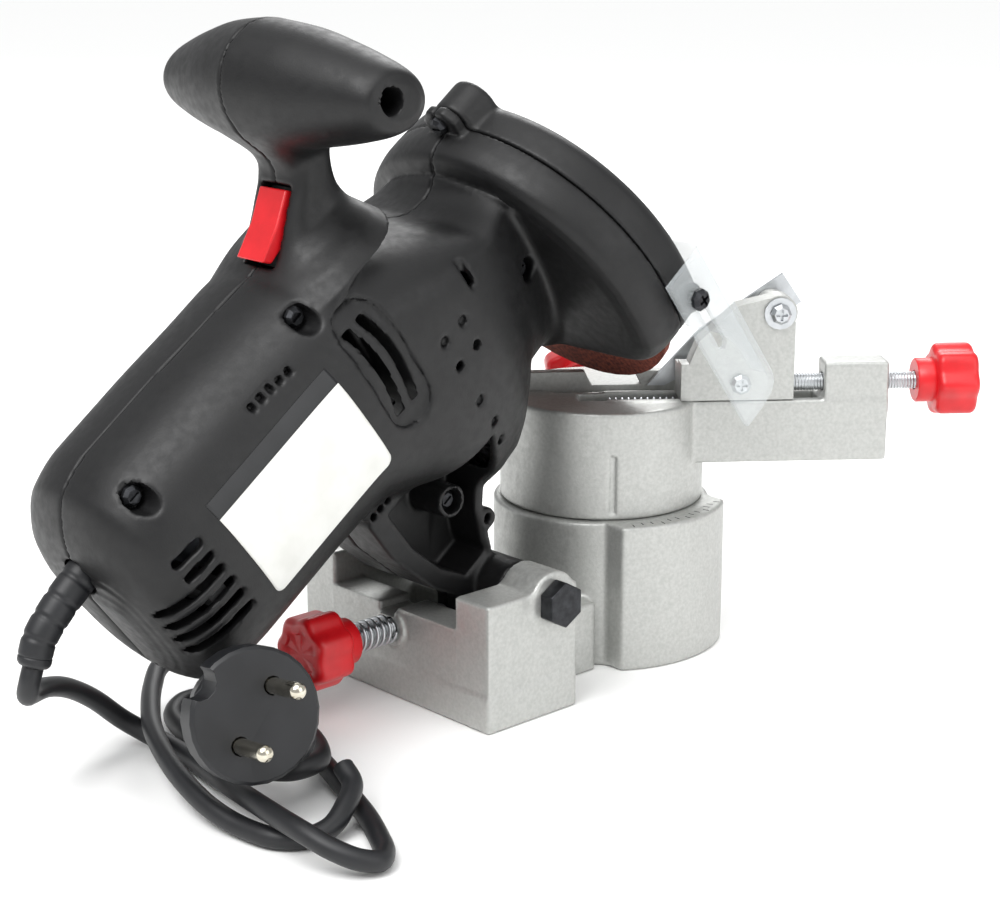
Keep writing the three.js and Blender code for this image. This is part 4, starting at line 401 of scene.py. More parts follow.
# A box between low and high along each direction: the root of the summed squares of how far a place
# lies beyond the sides, or, inside, the least depth; less the ease that rounds its edges.
def boxField(spans, ease, *places):
    beyond = [np.abs(place - (low + high) / 2) - (high - low) / 2 + ease
              for place, (low, high) in zip(places, spans)]
    outside = sum(np.maximum(b, 0) ** 2 for b in beyond) ** 0.5
    inside = beyond[0]
    for b in beyond[1:]:
        inside = np.maximum(inside, b)
    return outside + np.minimum(inside, 0) - ease


# A round rod: how far a place lies beyond the radius and beyond the ends, taken together as for a box.
def rodField(x, y, along, radius, span, ease=0.4):
    side = np.hypot(x, y) - radius + ease
    end = np.abs(along - (span[0] + span[1]) / 2) - (span[1] - span[0]) / 2 + ease
    outside = np.sqrt(np.maximum(side, 0) ** 2 + np.maximum(end, 0) ** 2)
    return outside + np.minimum(np.maximum(side, end), 0) - ease


# The distance to the nearest place on a straight stretch, less the radius.
def slotField(x, y, start, end, radius):
    run = np.subtract(end, start)
    t = np.clip(((x - start[0]) * run[0] + (y - start[1]) * run[1]) / run.dot(run), 0, 1)
    return np.hypot(x - start[0] - t * run[0], y - start[1] - t * run[1]) - radius


# Distance to a closed outline, less than nought inside: the least distance to its edges, with the sign
# from how often a line to the far right crosses it.
def outlineField(x, y, outline):
    outline = np.asarray(outline, float)
    least = np.full(np.broadcast(x, y).shape, np.inf)
    within = np.zeros(least.shape, bool)
    for (ax, ay), (bx, by) in zip(outline, np.roll(outline, -1, axis=0)):
        least = np.minimum(least, slotField(x, y, (ax, ay), (bx, by), 0))
        if ay != by:
            crosses = ((ay > y) != (by > y)) & (x < (bx - ax) * (y - ay) / (by - ay) + ax)
            within ^= crosses
    return np.where(within, -least, least)


# The skin of a field on a grid of places: one point in each cell that the skin passes through, at the
# mean of its crossings of the cell's edges, and one quad round each grid line that it crosses.
def fieldSurface(field, spans, step):
    axes = [np.arange(low - step, high + 2 * step, step) for low, high in spans]
    u, v, w = axes[0][:, None, None], axes[1][None, :, None], axes[2][None, None, :]
    value = np.asarray(field(u, v, w), np.float32)
    inside = value < 0
    shape = np.array(value.shape)
    corners = [(i, j, k) for i in (0, 1) for j in (0, 1) for k in (0, 1)]
    view = {c: tuple(slice(o, n - 1 + o) for o, n in zip(c, shape)) for c in corners}
    count = sum(inside[view[c]].astype(np.int8) for c in corners)
    cell = np.nonzero((count > 0) & (count < 8))
    at = np.stack(cell, -1)
    cornerValue = {c: value[cell[0] + c[0], cell[1] + c[1], cell[2] + c[2]] for c in corners}
    total, hits = np.zeros((len(at), 3)), np.zeros(len(at))
    for a in corners:
        for axis in range(3):
            if a[axis]:
                continue
            b = tuple(x + (n == axis) for n, x in enumerate(a))
            here, there = cornerValue[a], cornerValue[b]
            crossing = (here < 0) != (there < 0)
            t = np.where(crossing, here / np.where(crossing, here - there, 1), 0)
            point = np.tile(np.array(a, float), (len(at), 1))
            point[:, axis] += t
            total += point * crossing[:, None]
            hits += crossing
    start = np.array([axis[0] for axis in axes])
    points = start + step * (at + total / hits[:, None])
    number = np.full(shape - 1, -1, np.int64)
    number[cell] = np.arange(len(at))
    quads = []
    for axis in range(3):
        other, third = (axis + 1) % 3, (axis + 2) % 3
        low, high = [None] * 3, [None] * 3
        low[axis], high[axis] = slice(0, -1), slice(1, None)
        for dim in (other, third):
            low[dim] = high[dim] = slice(1, shape[dim] - 1)
        crossed = np.nonzero(inside[tuple(low)] != inside[tuple(high)])
        base = np.stack(crossed, -1)
        base[:, other] += 1
        base[:, third] += 1
        around = []
        for back, side in ((1, 1), (0, 1), (0, 0), (1, 0)):
            place = base.copy()
            place[:, other] -= back
            place[:, third] -= side
            around.append(number[tuple(place.T)])
        quad = np.stack(around, -1)
        leaving = inside[tuple(base.T)]
        quad[~leaving] = quad[~leaving][:, ::-1]
        quads.append(quad)
    return points, np.vstack(quads)


headSettings = {"lean": math.radians(37.5), "spindle": (-29, 0, 133.7)}


# Places along the spindle, across, and up the wheel are turned by the lean, set at the spindle, and
# given in metres.
def headToBench(points):
    lean, (x, y, z) = headSettings["lean"], headSettings["spindle"]
    u, v, w = np.asarray(points, float).T
    return np.stack([x + u * math.cos(lean) - w * math.sin(lean), y + v,
                     z + u * math.sin(lean) + w * math.cos(lean)], -1) * mm


skinSettings = {"quickStep": 1.2, "mostTriangles": 194000, "sharpAngle": 50}


# A field's skin as one piece, on a grid of the step given. A skin with more triangles than the most is
# thinned to them.
def fieldPiece(name, field, spans, step, material, body, place=None):
    points, quads = fieldSurface(field, spans, step)
    points = place(points) if place else points * mm
    mesh = bpy.data.meshes.new(name)
    mesh.vertices.add(len(points))
    mesh.vertices.foreach_set("co", points.astype(np.float32).ravel())
    mesh.loops.add(quads.size)
    mesh.loops.foreach_set("vertex_index", quads.astype(np.int32).ravel())
    mesh.polygons.add(len(quads))
    mesh.polygons.foreach_set("loop_start", np.arange(0, quads.size, 4, dtype=np.int32))
    mesh.update(calc_edges=True)
    mesh.validate()
    piece = bpy.data.objects.new(name, mesh)
    bpy.context.scene.collection.objects.link(piece)
    share = skinSettings["mostTriangles"] / (2 * len(quads))
    if share < 1:
        piece.modifiers.new("thin", "DECIMATE").ratio = share
        ready = piece.evaluated_get(bpy.context.evaluated_depsgraph_get())
        thinned = bpy.data.meshes.new_from_object(ready)
        piece.modifiers.clear()
        piece.data = thinned
    piece.data.materials.append(material)
    shadeSmooth(piece.data, skinSettings["sharpAngle"])
    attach(piece, body)
    print(name, "has", len(piece.data.polygons), "faces, thinned from", len(quads))
    return piece


# the moulded housing: a motor body, a neck with a cross grip, the rear half of the wheel guard and the
# arm down to the hinge. Sizes are in the head's own frame, along the spindle, across, and up the wheel
housingSettings = {
    "front": -13.5, "length": 172.5, "axis": 46.5, "halfHeight": 40, "halfWidth": 38, "wall": 2.8,
    "topPower": 2.4, "partingGap": 0.15,
    # how wide the fillet is where each part joins the rest
    "fillets": {"neck": 6, "grip": 7, "barrel": 1.5, "lug": 1, "stop": 1, "arm": 4, "pocket": 1.5,
                "guard": 8, "tab": 1},
    # how much the edge of each opening is eased
    "edges": {"bore": 0.3, "vent": 0.6, "dish": 0.8, "mark": 0.2, "slit": 0.5, "recess": 0.5, "hole": 0.2},
    # share of the length, shares of the half height below and above the axis and of the half width, and the
    # power of the lower half's outline
    "bodyRows": [
        (0, 1.635, 0.17, 0.6, 2), (0.05, 1.58, 0.16, 0.78, 2), (0.1, 1.56, 0.19, 0.88, 2),
        (0.16, 1.715, 0.36, 0.94, 2.2), (0.217, 1.86, 0.5, 0.98, 2.4), (0.25, 1.925, 0.58, 0.99, 2.4),
        (0.29, 1.92, 0.67, 0.99, 2.5), (0.36, 1.7, 0.8, 0.99, 2.9), (0.46, 1.25, 0.9, 0.97, 2.9),
        (0.55, 1.03, 0.91, 0.95, 2.9), (0.7, 1, 0.93, 0.94, 2.9), (0.84, 1, 0.93, 0.93, 2.9),
        (0.91, 0.99, 0.87, 0.9, 2.9), (0.96, 0.98, 0.66, 0.8, 2.7), (0.985, 0.85, 0.42, 0.62, 2.5),
        (1, 0.6, 0.1, 0.38, 2.4),
    ],
    # the neck's heights, and its rear edge, front edge and half width there, low and high. A row is the
    # share of the height, then the shares of the way from the low edges to the high ones, and of the way
    # from the high width to the low one
    "neckLow": 74, "neckTop": 114, "neckRear": (-90, -60), "neckFront": (-46, -34), "neckHalf": (30, 17),
    "neckRows": [
        (0, 0, 0, 1), (0.1, 0.13, -0.17, 0.62), (0.2, 0.27, -0.27, 0), (0.3, 0.44, -0.25, -0.27),
        (0.43, 0.66, -0.12, -0.36), (0.55, 0.87, 0.08, -0.38), (0.65, 0.97, 0.33, -0.37),
        (0.78, 1, 0.67, -0.27), (1, 1, 1, 0),
    ],
    "gripMiddle": (-45.4, 120.6), "gripEnd": (-41.5, 114.2), "gripReach": 50, "gripHalf": (18, 18.3),
    "gripWall": 3,
    # share of the way from the grip's middle to its end, and shares of its half width and half height
    "gripRows": [
        (0, 1, 1), (0.3, 0.96, 0.95), (0.56, 0.86, 0.82), (0.78, 0.74, 0.67), (0.92, 0.65, 0.54),
        (0.975, 0.56, 0.44), (1, 0.38, 0.28),
    ],
    "hinge": (-88.45, -53.3), "armWidth": 43, "armHalf": 18, "armRim": 13, "web": 3, "barrel": 9.2,
    "barrelHalf": 29.5,
    # the arm's outline from the hinge: share of the way up to the spindle, and share of its width across
    "armRows": [
        (-0.15, -0.55), (0.265, -0.55), (0.66, -0.435), (0.93, -0.25), (0.93, 0.1), (0.832, 0.131),
        (0.554, 0.278), (0.432, 0.406), (0.3, 0.6), (-0.15, 0.71),
    ],
    "lug": (-77.7, -34.2), "lugRadius": 3.6, "lugBore": 1.6, "hingeBore": 4.3, "boreHalf": 40,
    "stop": ((-72, -64.4), (-5, 5), (19, 37.6)),
    # the cover screw's tab: its spans, and the sum of reach across and height where its corners are cut off
    "tab": ((-5, -1.2), (-7.2, 7.2), (56, 71.5)), "tabCorner": 75, "tabEase": 0.8,
    "coverScrew": 66.5, "coverScrewSpan": (-8, 2),
    # place along and up, and depth of the head from the middle
    "screws": [(-92.5, 75, 20), (-163, 75.5, 18), (-22, 25.5, 22), (-84.3, -18.1, 13), (-43.5, 116.4, 22)],
    "screwBoss": 5.5, "screwRecess": 4, "screwHole": 1.9, "screwLength": 19,
    # inside: bearing walls and ribs, then round spaces about the spindle or the motor: height, radius, span
    "walls": ((-80, -69), (-184, -173), (-143.5, -140.5), (-117.5, -114.5)),
    "rounds": (
        (0, 9.8, (-77.3, -68.7)), (0, 11.3, (-35.3, -23.7)), (0, 8.1, (-25, -12.4)),
        (0, 26.7, (-65.6, -54.4)), (40.5, 9.8, (-80.3, -72.7)), (40.5, 9.8, (-181.3, -172.7)),
        (40.5, 4.6, (-182, -52)), (40.5, 29.8, (-150.3, -107.7)),
    ),
    "brushes": ((-169.3, -162.7), (-31.9, 31.9), (36.2, 44.8)), "seatEase": 0.1, "wheelRoomFront": 3,
    # vents: height and rear end; an opening in the flank goes no deeper than flankInner from the middle
    "vents": [(31, -180.5), (36.5, -180.5), (42, -180.5), (47.5, -180.5), (53, -170), (58.5, -170)],
    "ventFront": -161.8, "ventHalf": 1.5, "flankInner": 19,
    "grille": (-84, 49.3), "grilleLean": 0.07, "grilleHalf": 8.3, "grilleReach": 13.7, "grilleDepth": 1.6,
    "slotOff": 3.2, "slotShift": 1, "slotBow": 1.6, "slotReach": 14.2, "slotHalf": 1.5,
    "slit": ((-46, 45.4), (-45, 55.6)), "slitHalf": 1.3, "slitInner": 34,
    "switch": (-73, 89.5, math.radians(-38.6)), "switchHalf": (12.4, 7.1), "switchSpan": (-18, 12),
    "switchEase": 0.6,
    "relief": [(-199, 76.2), (-204, 72.4), (-211.8, 66.2)], "reliefRadius": 6.2,
    # blind marks on both flanks: place along, place up, radius
    "marks": [
        (-55.9, 39.5, 1.6), (-64.8, 39.5, 1.6), (-56.3, 29.4, 1.6), (-65, 29.2, 1.6), (-65.2, 13.8, 1.6),
        (-63.9, 2.1, 1.6), (-64.3, -7, 1.6), (-122.8, 71, 1.25), (-119, 70.8, 1.25), (-115.2, 70.6, 1.25),
        (-111.5, 70.4, 1.25), (-107.7, 70.2, 1.25), (-112.1, 2.5, 1.25), (-108.7, 2.6, 1.25),
        (-105.2, 2.7, 1.25), (-101.8, 2.8, 1.25),
    ],
    "markDepth": 2.3,
}
guardSettings = {
    "halfWidth": 58, "crown": 57, "crownCentre": 6, "flatHalf": 44, "bottom": -21, "cornerHalf": 52,
    "sideHalf": 56, "sideHeight": -13, "flankHeight": -5, "wall": 2.5, "mouthHalf": 48.5, "mouthDepth": 40,
    "rear": -16, "rearInner": -13.4, "front": 13, "frontInner": 10.5, "parting": -1, "slant": 0.97,
    "crownPoints": 60, "bendPoints": 12,
    # share of the way from the parting line to the flat face, and share of the outline's reach
    "rearRows": [(0, 1), (0.3, 1), (0.7, 0.985), (0.92, 0.94), (1, 0.86)],
    "frontRows": [(0, 1), (0.64, 0.99), (0.92, 0.95), (1, 0.9)],
}


# How far the guard's outline reaches from the spindle in each direction: a half ellipse over two flanks
# that draw in to a flat foot. An inset outline is open below.
def guardReach(inset):
    g = guardSettings
    flank, drop, count = g["halfWidth"] - inset, inset > 0, g["bendPoints"]
    turn = np.linspace(0, math.pi / 2, g["crownPoints"])
    crown = np.stack([flank * np.cos(turn), g["crownCentre"] + (g["crown"] - inset) * np.sin(turn)], -1)
    share = np.linspace(0, 1, count, endpoint=False)[:, None]
    foot = np.array([g["mouthHalf"] if drop else g["flatHalf"], g["bottom"] + inset])
    corner = np.array([g["cornerHalf"] - inset, g["bottom"] + inset])
    side = np.array([g["sideHalf"] - inset, g["sideHeight"]])
    hip = np.array([flank, g["flankHeight"]])
    top = np.array([flank, g["crownCentre"]])
    bends = [a * (1 - share) ** 2 + b * 2 * share * (1 - share) + c * share ** 2
             for a, b, c in ((foot, corner, side), (side, hip, top))]
    low = np.stack([np.linspace(0.001, foot[0], count, endpoint=False),
                    np.full(count, g["bottom"] - (g["mouthDepth"] if drop else 0))], -1)
    half = np.vstack([low, *bends, crown])
    angle = np.arctan2(half[:, 0], -half[:, 1])
    order = np.argsort(angle)
    return angle[order], np.hypot(*half.T)[order]


# Reach from the spindle less the outline's reach on the same line, scaled from the parting line to the
# flat face as the rows say, and cut off at that face. The slant allows for the flank's slope.
def guardField(u, v, w, inset, rows, ends):
    angle, reach = guardReach(inset)
    scale = easedRows(*np.array(rows).T, (u - ends[0]) / (ends[1] - ends[0]))
    side = np.hypot(v, w) - scale * np.interp(np.arctan2(np.abs(v), -w), angle, reach)
    toFace = (u - ends[1]) * (1 if ends[1] > ends[0] else -1)
    return np.maximum(side * guardSettings["slant"], toFace)


# The body's shares at each place along it, eased through its rows: low, high, width and power.
def bodyShares(u):
    h = housingSettings
    rows = np.array(h["bodyRows"])
    return (easedRows(rows[:, 0], rows[:, k], (h["front"] - u) / h["length"]) for k in (1, 2, 3, 4))


# An oval across the motor's axis, whose two heights, width and power are the shares', cut off at both
# ends. The inset draws all of it in.
def bodyField(u, v, w, inset=0):
    h = housingSettings
    low, high, width, power = bodyShares(u)
    rise = w - h["axis"]
    tall = h["halfHeight"] * np.where(rise > 0, high, low) - inset
    wide = h["halfWidth"] * width - inset
    power = np.where(rise > 0, h["topPower"], power)
    section = ovalField(v, rise, np.maximum(wide, 1), np.maximum(tall, 1), power)
    return np.maximum(section, np.maximum(u - h["front"] + inset, h["front"] - h["length"] + inset - u))


# An oval at each height, to the third power, between the rear and front edges that the rows give.
def neckField(u, v, w):
    h = housingSettings
    place = (w - h["neckLow"]) / (h["neckTop"] - h["neckLow"])
    rows = np.array(h["neckRows"])
    rear, front, width = (pair[0] + (pair[1] - pair[0]) * easedRows(rows[:, 0], rows[:, k], place)
                          for pair, k in ((h["neckRear"], 1), (h["neckFront"], 2), (h["neckHalf"][::-1], 3)))
    section = ovalField(u - (rear + front) / 2, v, (front - rear) / 2, width, 3)
    return np.maximum(section, np.maximum(h["neckLow"] - w, w - h["neckTop"]))


# An ellipse square to the bench at each place along the grip, about a line that droops from its middle
# to its ends. The slant allows for the taper.
def gripField(u, v, w, inset=0):
    h = housingSettings
    out = np.abs(v) / (h["gripReach"] - inset)
    rows = np.array(h["gripRows"])
    wide, tall = (half * easedRows(rows[:, 0], rows[:, k], out) - inset
                  for half, k in ((h["gripHalf"][0], 1), (h["gripHalf"][1], 2)))
    du = u - (h["gripMiddle"][0] + (h["gripEnd"][0] - h["gripMiddle"][0]) * out)
    dw = w - (h["gripMiddle"][1] + (h["gripEnd"][1] - h["gripMiddle"][1]) * out)
    lean = headSettings["lean"]
    level = du * math.cos(lean) - dw * math.sin(lean)
    rise = du * math.sin(lean) + dw * math.cos(lean)
    section = ovalField(level, rise, np.maximum(wide, 1), np.maximum(tall, 1), 2)
    slant = 0.9
    return np.maximum(section * slant, np.abs(v) - h["gripReach"] + inset)


# The arm down to the hinge with its barrel, spring lug and stop; and the pockets beside its web, which
# keep clear of the screws' bosses and the barrel. The pockets' outline is the arm's drawn towards its
# mean.
def armFields(u, v, w, levelX, levelZ):
    h = housingSettings
    outline = np.array([(h["hinge"][0] + h["armWidth"] * across, h["hinge"][1] * down)
                        for down, across in h["armRows"]])
    middle = outline.mean(axis=0)
    inner = middle + (outline - middle) * (1 - h["armRim"] / h["armWidth"])
    pocket = np.maximum(outlineField(u, w, inner), h["web"] - np.abs(v))
    fromHinge = u - h["hinge"][0], w - h["hinge"][1]
    fromLug = u - h["lug"][0], w - h["lug"][1]
    for screwU, screwW, _ in h["screws"]:
        pocket = np.maximum(pocket, h["screwBoss"] - np.hypot(u - screwU, w - screwW))
    pocket = np.maximum(pocket, h["barrel"] - np.hypot(*fromHinge))
    arm = np.maximum(outlineField(u, w, outline), np.abs(v) - h["armHalf"])
    for name, more in (
            ("barrel", rodField(*fromHinge, v, h["barrel"], (-h["barrelHalf"], h["barrelHalf"]))),
            ("lug", rodField(*fromLug, v, h["lugRadius"], (-h["armHalf"], h["armHalf"]))),
            ("stop", boxField(h["stop"], 0.5, levelX, v, levelZ))):
        arm = merged(arm, more, h["fillets"][name])
    return arm, pocket


# What the walls enclose: the body drawn in by its wall, less bearing walls, ribs and the screws'
# bosses, with the grip's inside and the spaces for bearings, gears, shafts, stator and brushes.
def hollowField(u, v, w):
    h = housingSettings
    space = bodyField(u, v, w, h["wall"])
    for low, high in h["walls"]:
        space = np.maximum(space, -np.maximum(low - u, u - high))
    space = np.minimum(space, gripField(u, v, w, h["gripWall"]))
    for screwU, screwW, _ in h["screws"]:
        space = np.maximum(space, h["screwBoss"] - np.hypot(u - screwU, w - screwW))
    for centre, radius, span in h["rounds"]:
        space = np.minimum(space, rodField(v, w - centre, u, radius, span, h["seatEase"]))
    return np.minimum(space, boxField(h["brushes"], h["seatEase"], u, v, w))


# Each opening with how much its edge is eased, in the order in which they are cut: the switch's hole,
# the sleeve's channel, the bores, the vents, the grille, the marks, the slit and the screws' holes.
def openingFields(u, v, w, levelX, levelZ, body):
    h, edges = housingSettings, housingSettings["edges"]
    switchU, switchW, turn = h["switch"]
    alongSwitch = (u - switchU) * math.cos(turn) - (w - switchW) * math.sin(turn)
    outSwitch = (u - switchU) * math.sin(turn) + (w - switchW) * math.cos(turn)
    halfLong, halfWide = h["switchHalf"]
    spans = ((-halfLong, halfLong), (-halfWide, halfWide), h["switchSpan"])
    yield boxField(spans, h["switchEase"], alongSwitch, v, outSwitch), edges["bore"]
    for start, end in zip(h["relief"][:-1], h["relief"][1:]):
        yield np.hypot(slotField(levelX, levelZ, start, end, 0), v) - h["reliefRadius"], edges["bore"]
    bore = (-h["boreHalf"], h["boreHalf"])
    yield rodField(u - h["hinge"][0], w - h["hinge"][1], v, h["hingeBore"], bore, 0), edges["bore"]
    yield rodField(u - h["lug"][0], w - h["lug"][1], v, h["lugBore"], bore, 0), edges["bore"]
    yield rodField(v, w - h["coverScrew"], u, h["screwHole"], h["coverScrewSpan"], 0), edges["bore"]
    shallow = h["flankInner"] - np.abs(v)
    for low, rear in h["vents"]:
        vent = slotField(u, w, (rear, low), (h["ventFront"], low), h["ventHalf"])
        yield np.maximum(vent, shallow), edges["vent"]
    # the grille is a dished oval that leans a little, with two slots bowed towards the rear at their ends
    grilleU, grilleW = h["grille"]
    lean = h["grilleLean"]
    oval = slotField(u, w, (grilleU - lean * h["grilleReach"], grilleW - h["grilleReach"]),
                     (grilleU + lean * h["grilleReach"], grilleW + h["grilleReach"]), h["grilleHalf"])
    yield np.maximum(np.maximum(oval, shallow), -(body + h["grilleDepth"])), edges["dish"]
    up = w - grilleW
    bow = grilleU + h["slotShift"] + up * lean - (up / h["slotReach"]) ** 2 * h["slotBow"]
    for off in (-h["slotOff"], h["slotOff"]):
        slot = np.maximum(np.abs(u - bow - off) - h["slotHalf"], np.abs(up) - h["slotReach"] - h["slotHalf"])
        yield np.maximum(slot, shallow), edges["vent"]
    for markU, markW, radius in h["marks"]:
        mark = np.hypot(u - markU, w - markW) - radius
        yield np.maximum(mark, -(body + h["markDepth"])), edges["mark"]
    yield np.maximum(slotField(u, w, *h["slit"], h["slitHalf"]), h["slitInner"] - np.abs(v)), edges["slit"]
    for screwU, screwW, depth in h["screws"]:
        reach = np.hypot(u - screwU, w - screwW)
        yield np.maximum(reach - h["screwRecess"], v + depth), edges["recess"]
        length = np.maximum(-v - depth - 1, v - h["screwLength"] + depth)
        yield np.maximum(reach - h["screwHole"], length), edges["hole"]


# The right half for side -1 and the left half for side 1: everything outside merged, then what is
# hollow taken away, then the openings, and cut off at the middle.
def housingField(side):
    h, g, fillets = housingSettings, guardSettings, housingSettings["fillets"]

    def field(u, v, w):
        lean, spindle = headSettings["lean"], headSettings["spindle"]
        levelX = spindle[0] + u * math.cos(lean) - w * math.sin(lean)
        levelZ = spindle[2] + u * math.sin(lean) + w * math.cos(lean)
        body = bodyField(u, v, w)
        arm, pocket = armFields(u, v, w, levelX, levelZ)
        grip = merged(neckField(u, v, w), gripField(u, v, w), fillets["neck"])
        whole = merged(merged(body, grip, fillets["grip"]), arm, fillets["arm"])
        whole = without(whole, pocket, fillets["pocket"])
        guard = guardField(u, v, w, 0, g["rearRows"], (g["parting"], g["rear"]))
        whole = merged(whole, guard, fillets["guard"])
        whole = np.maximum(whole, u - g["parting"] + h["partingGap"])
        # a plane at 45 degrees lies about 0.7 of the sum away
        tab = np.maximum(boxField(h["tab"], h["tabEase"], u, v, w), 0.7 * (np.abs(v) + w - h["tabCorner"]))
        whole = without(merged(whole, tab, fillets["tab"]), hollowField(u, v, w))
        wheelRoom = guardField(u, v, w, g["wall"], g["rearRows"], (g["parting"], g["rearInner"]))
        whole = without(whole, np.maximum(wheelRoom, u - h["wheelRoomFront"]))
        for less, ease in openingFields(u, v, w, levelX, levelZ, body):
            whole = without(whole, less, ease)
        return np.maximum(whole, h["partingGap"] - side * v)

    return field


housingSpans = {-1: ((-187, -0.5), (-59, 0), (-66, 142)), 1: ((-187, -0.5), (0, 59), (-66, 142))}
for side, name in ((-1, "housing_right"), (1, "housing_left")):
    half = fieldPiece(name + "_moulding", housingField(side), housingSpans[side], 0.85, mouldedBlack, "head",
                      headToBench)
    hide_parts(name)

# the guard's front cover, with the hump over its screw and a boss each side for the visor
coverSettings = {
    "spans": ((-1, 13), (-61, 61), (-22, 71)), "hump": 62, "humpRadius": 8.5, "humpSpan": (-0.85, 12),
    "humpFillet": 2.5, "boss": (4.2, -7), "bossRadius": 5, "bossSpan": (50, 60), "holeRadius": 1.9,
    "visorHole": (49, 62), "screwHole": (-2, 10.8),
}


# The guard's outline from the parting line forwards, with the hump and bosses added, and hollowed.
def coverField(u, v, w):
    g, c = guardSettings, coverSettings
    outer = guardField(u, v, w, 0, g["frontRows"], (g["parting"], g["front"]))
    outer = np.maximum(outer, g["parting"] + housingSettings["partingGap"] - u)
    hump = rodField(v, w - c["hump"], u, c["humpRadius"], c["humpSpan"], 1.5)
    fromBoss = u - c["boss"][0], w - c["boss"][1], np.abs(v)
    boss = rodField(*fromBoss, c["bossRadius"], c["bossSpan"])
    whole = merged(merged(outer, hump, c["humpFillet"]), boss, 1)
    inner = guardField(u, v, w, g["wall"], g["frontRows"], (g["parting"], g["frontInner"]))
    screw = rodField(v, w - housingSettings["coverScrew"], u, c["holeRadius"], c["screwHole"], 0)
    for less in (inner, rodField(*fromBoss, c["holeRadius"], c["visorHole"], 0), screw):
        whole = without(whole, less)
    return whole


cover = fieldPiece("wheel_cover_moulding", coverField, coverSettings["spans"], 0.8, mouldedBlack, "head",
                   headToBench)
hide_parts("wheel_cover")
print("mouldings made")

# the castings. Sizes are on the bench for the base, and along the rail, away from it and up for the vise
baseSettings = {
    "spans": ((-97, 44), (-46, 46), (0, 51)), "ease": 0.8, "cutEase": 0.6,
    "drum": 37.2, "drumTop": 50.25, "hollow": 32.7, "floor": (20, 28), "socket": 26, "dial": 43,
    "dialHalf": 25, "swivelHole": 4.3, "bridgeHalf": 28, "bridgeTop": 24, "bridgeReach": -30,
    "bridgeFillet": 2.5, "blockFront": -57, "blockRear": -95, "half": 45.5, "floorTop": 12, "wall": 5,
    "under": (-9, 9), "blockFillet": 1.5, "earInner": 30, "earTop": 42, "hinge": (-66.75, 37.6),
    "hingeBore": 4.3, "boss": 9.75, "bossFillet": 2, "wallFront": -82, "wallTop": 31, "wallHalf": 31,
    "frontWall": 4, "notch": (-2, 6.5), "notchSpan": (28, 40), "screwHeight": 24, "screwHole": 3.3,
    "screwBoss": 6.5, "screwBossSpan": (-96.5, -94),
}
viseSettings = {
    "spans": ((-36, 96), (-36, 36), (28, 101)), "ease": 0.8, "cutEase": 0.5, "above": 9,
    "turn": math.radians(-39), "radius": 35, "bottom": 50.55, "table": 87.1, "spigot": 25.7,
    "spigotBottom": 28.3, "bolt": 4.3, "boltTop": 62, "railEnd": 95, "railNear": -20, "railFar": -2,
    "railBottom": 65.6, "endLength": 22, "endFar": -8.5, "endTop": 99.8, "endLow": 6,
    "channel": (-16, -5), "channelSpan": (-9, 72), "channelFloor": 80, "slot": (-1, 0.6),
    "slotSpan": (-40, 99), "slotFloor": 79,
    # the sight hole and both screws' holes: centre, radius and for the first its depth
    "sight": (-6, -12, 3.5, 3), "screw": (-3, 80, 3.3), "adjuster": (-14, 92, 3.3),
    # near side, start, end and depth of the recess; width, low, high and depth of the pointer's groove
    "recess": (-3.4, -15.5, 26, 1.2), "pointer": (1.8, 52.7, 72.4, 1),
    "pocket": (-31.3, 30.3, -0.2, 5.5), "pocketFloor": 74,
}


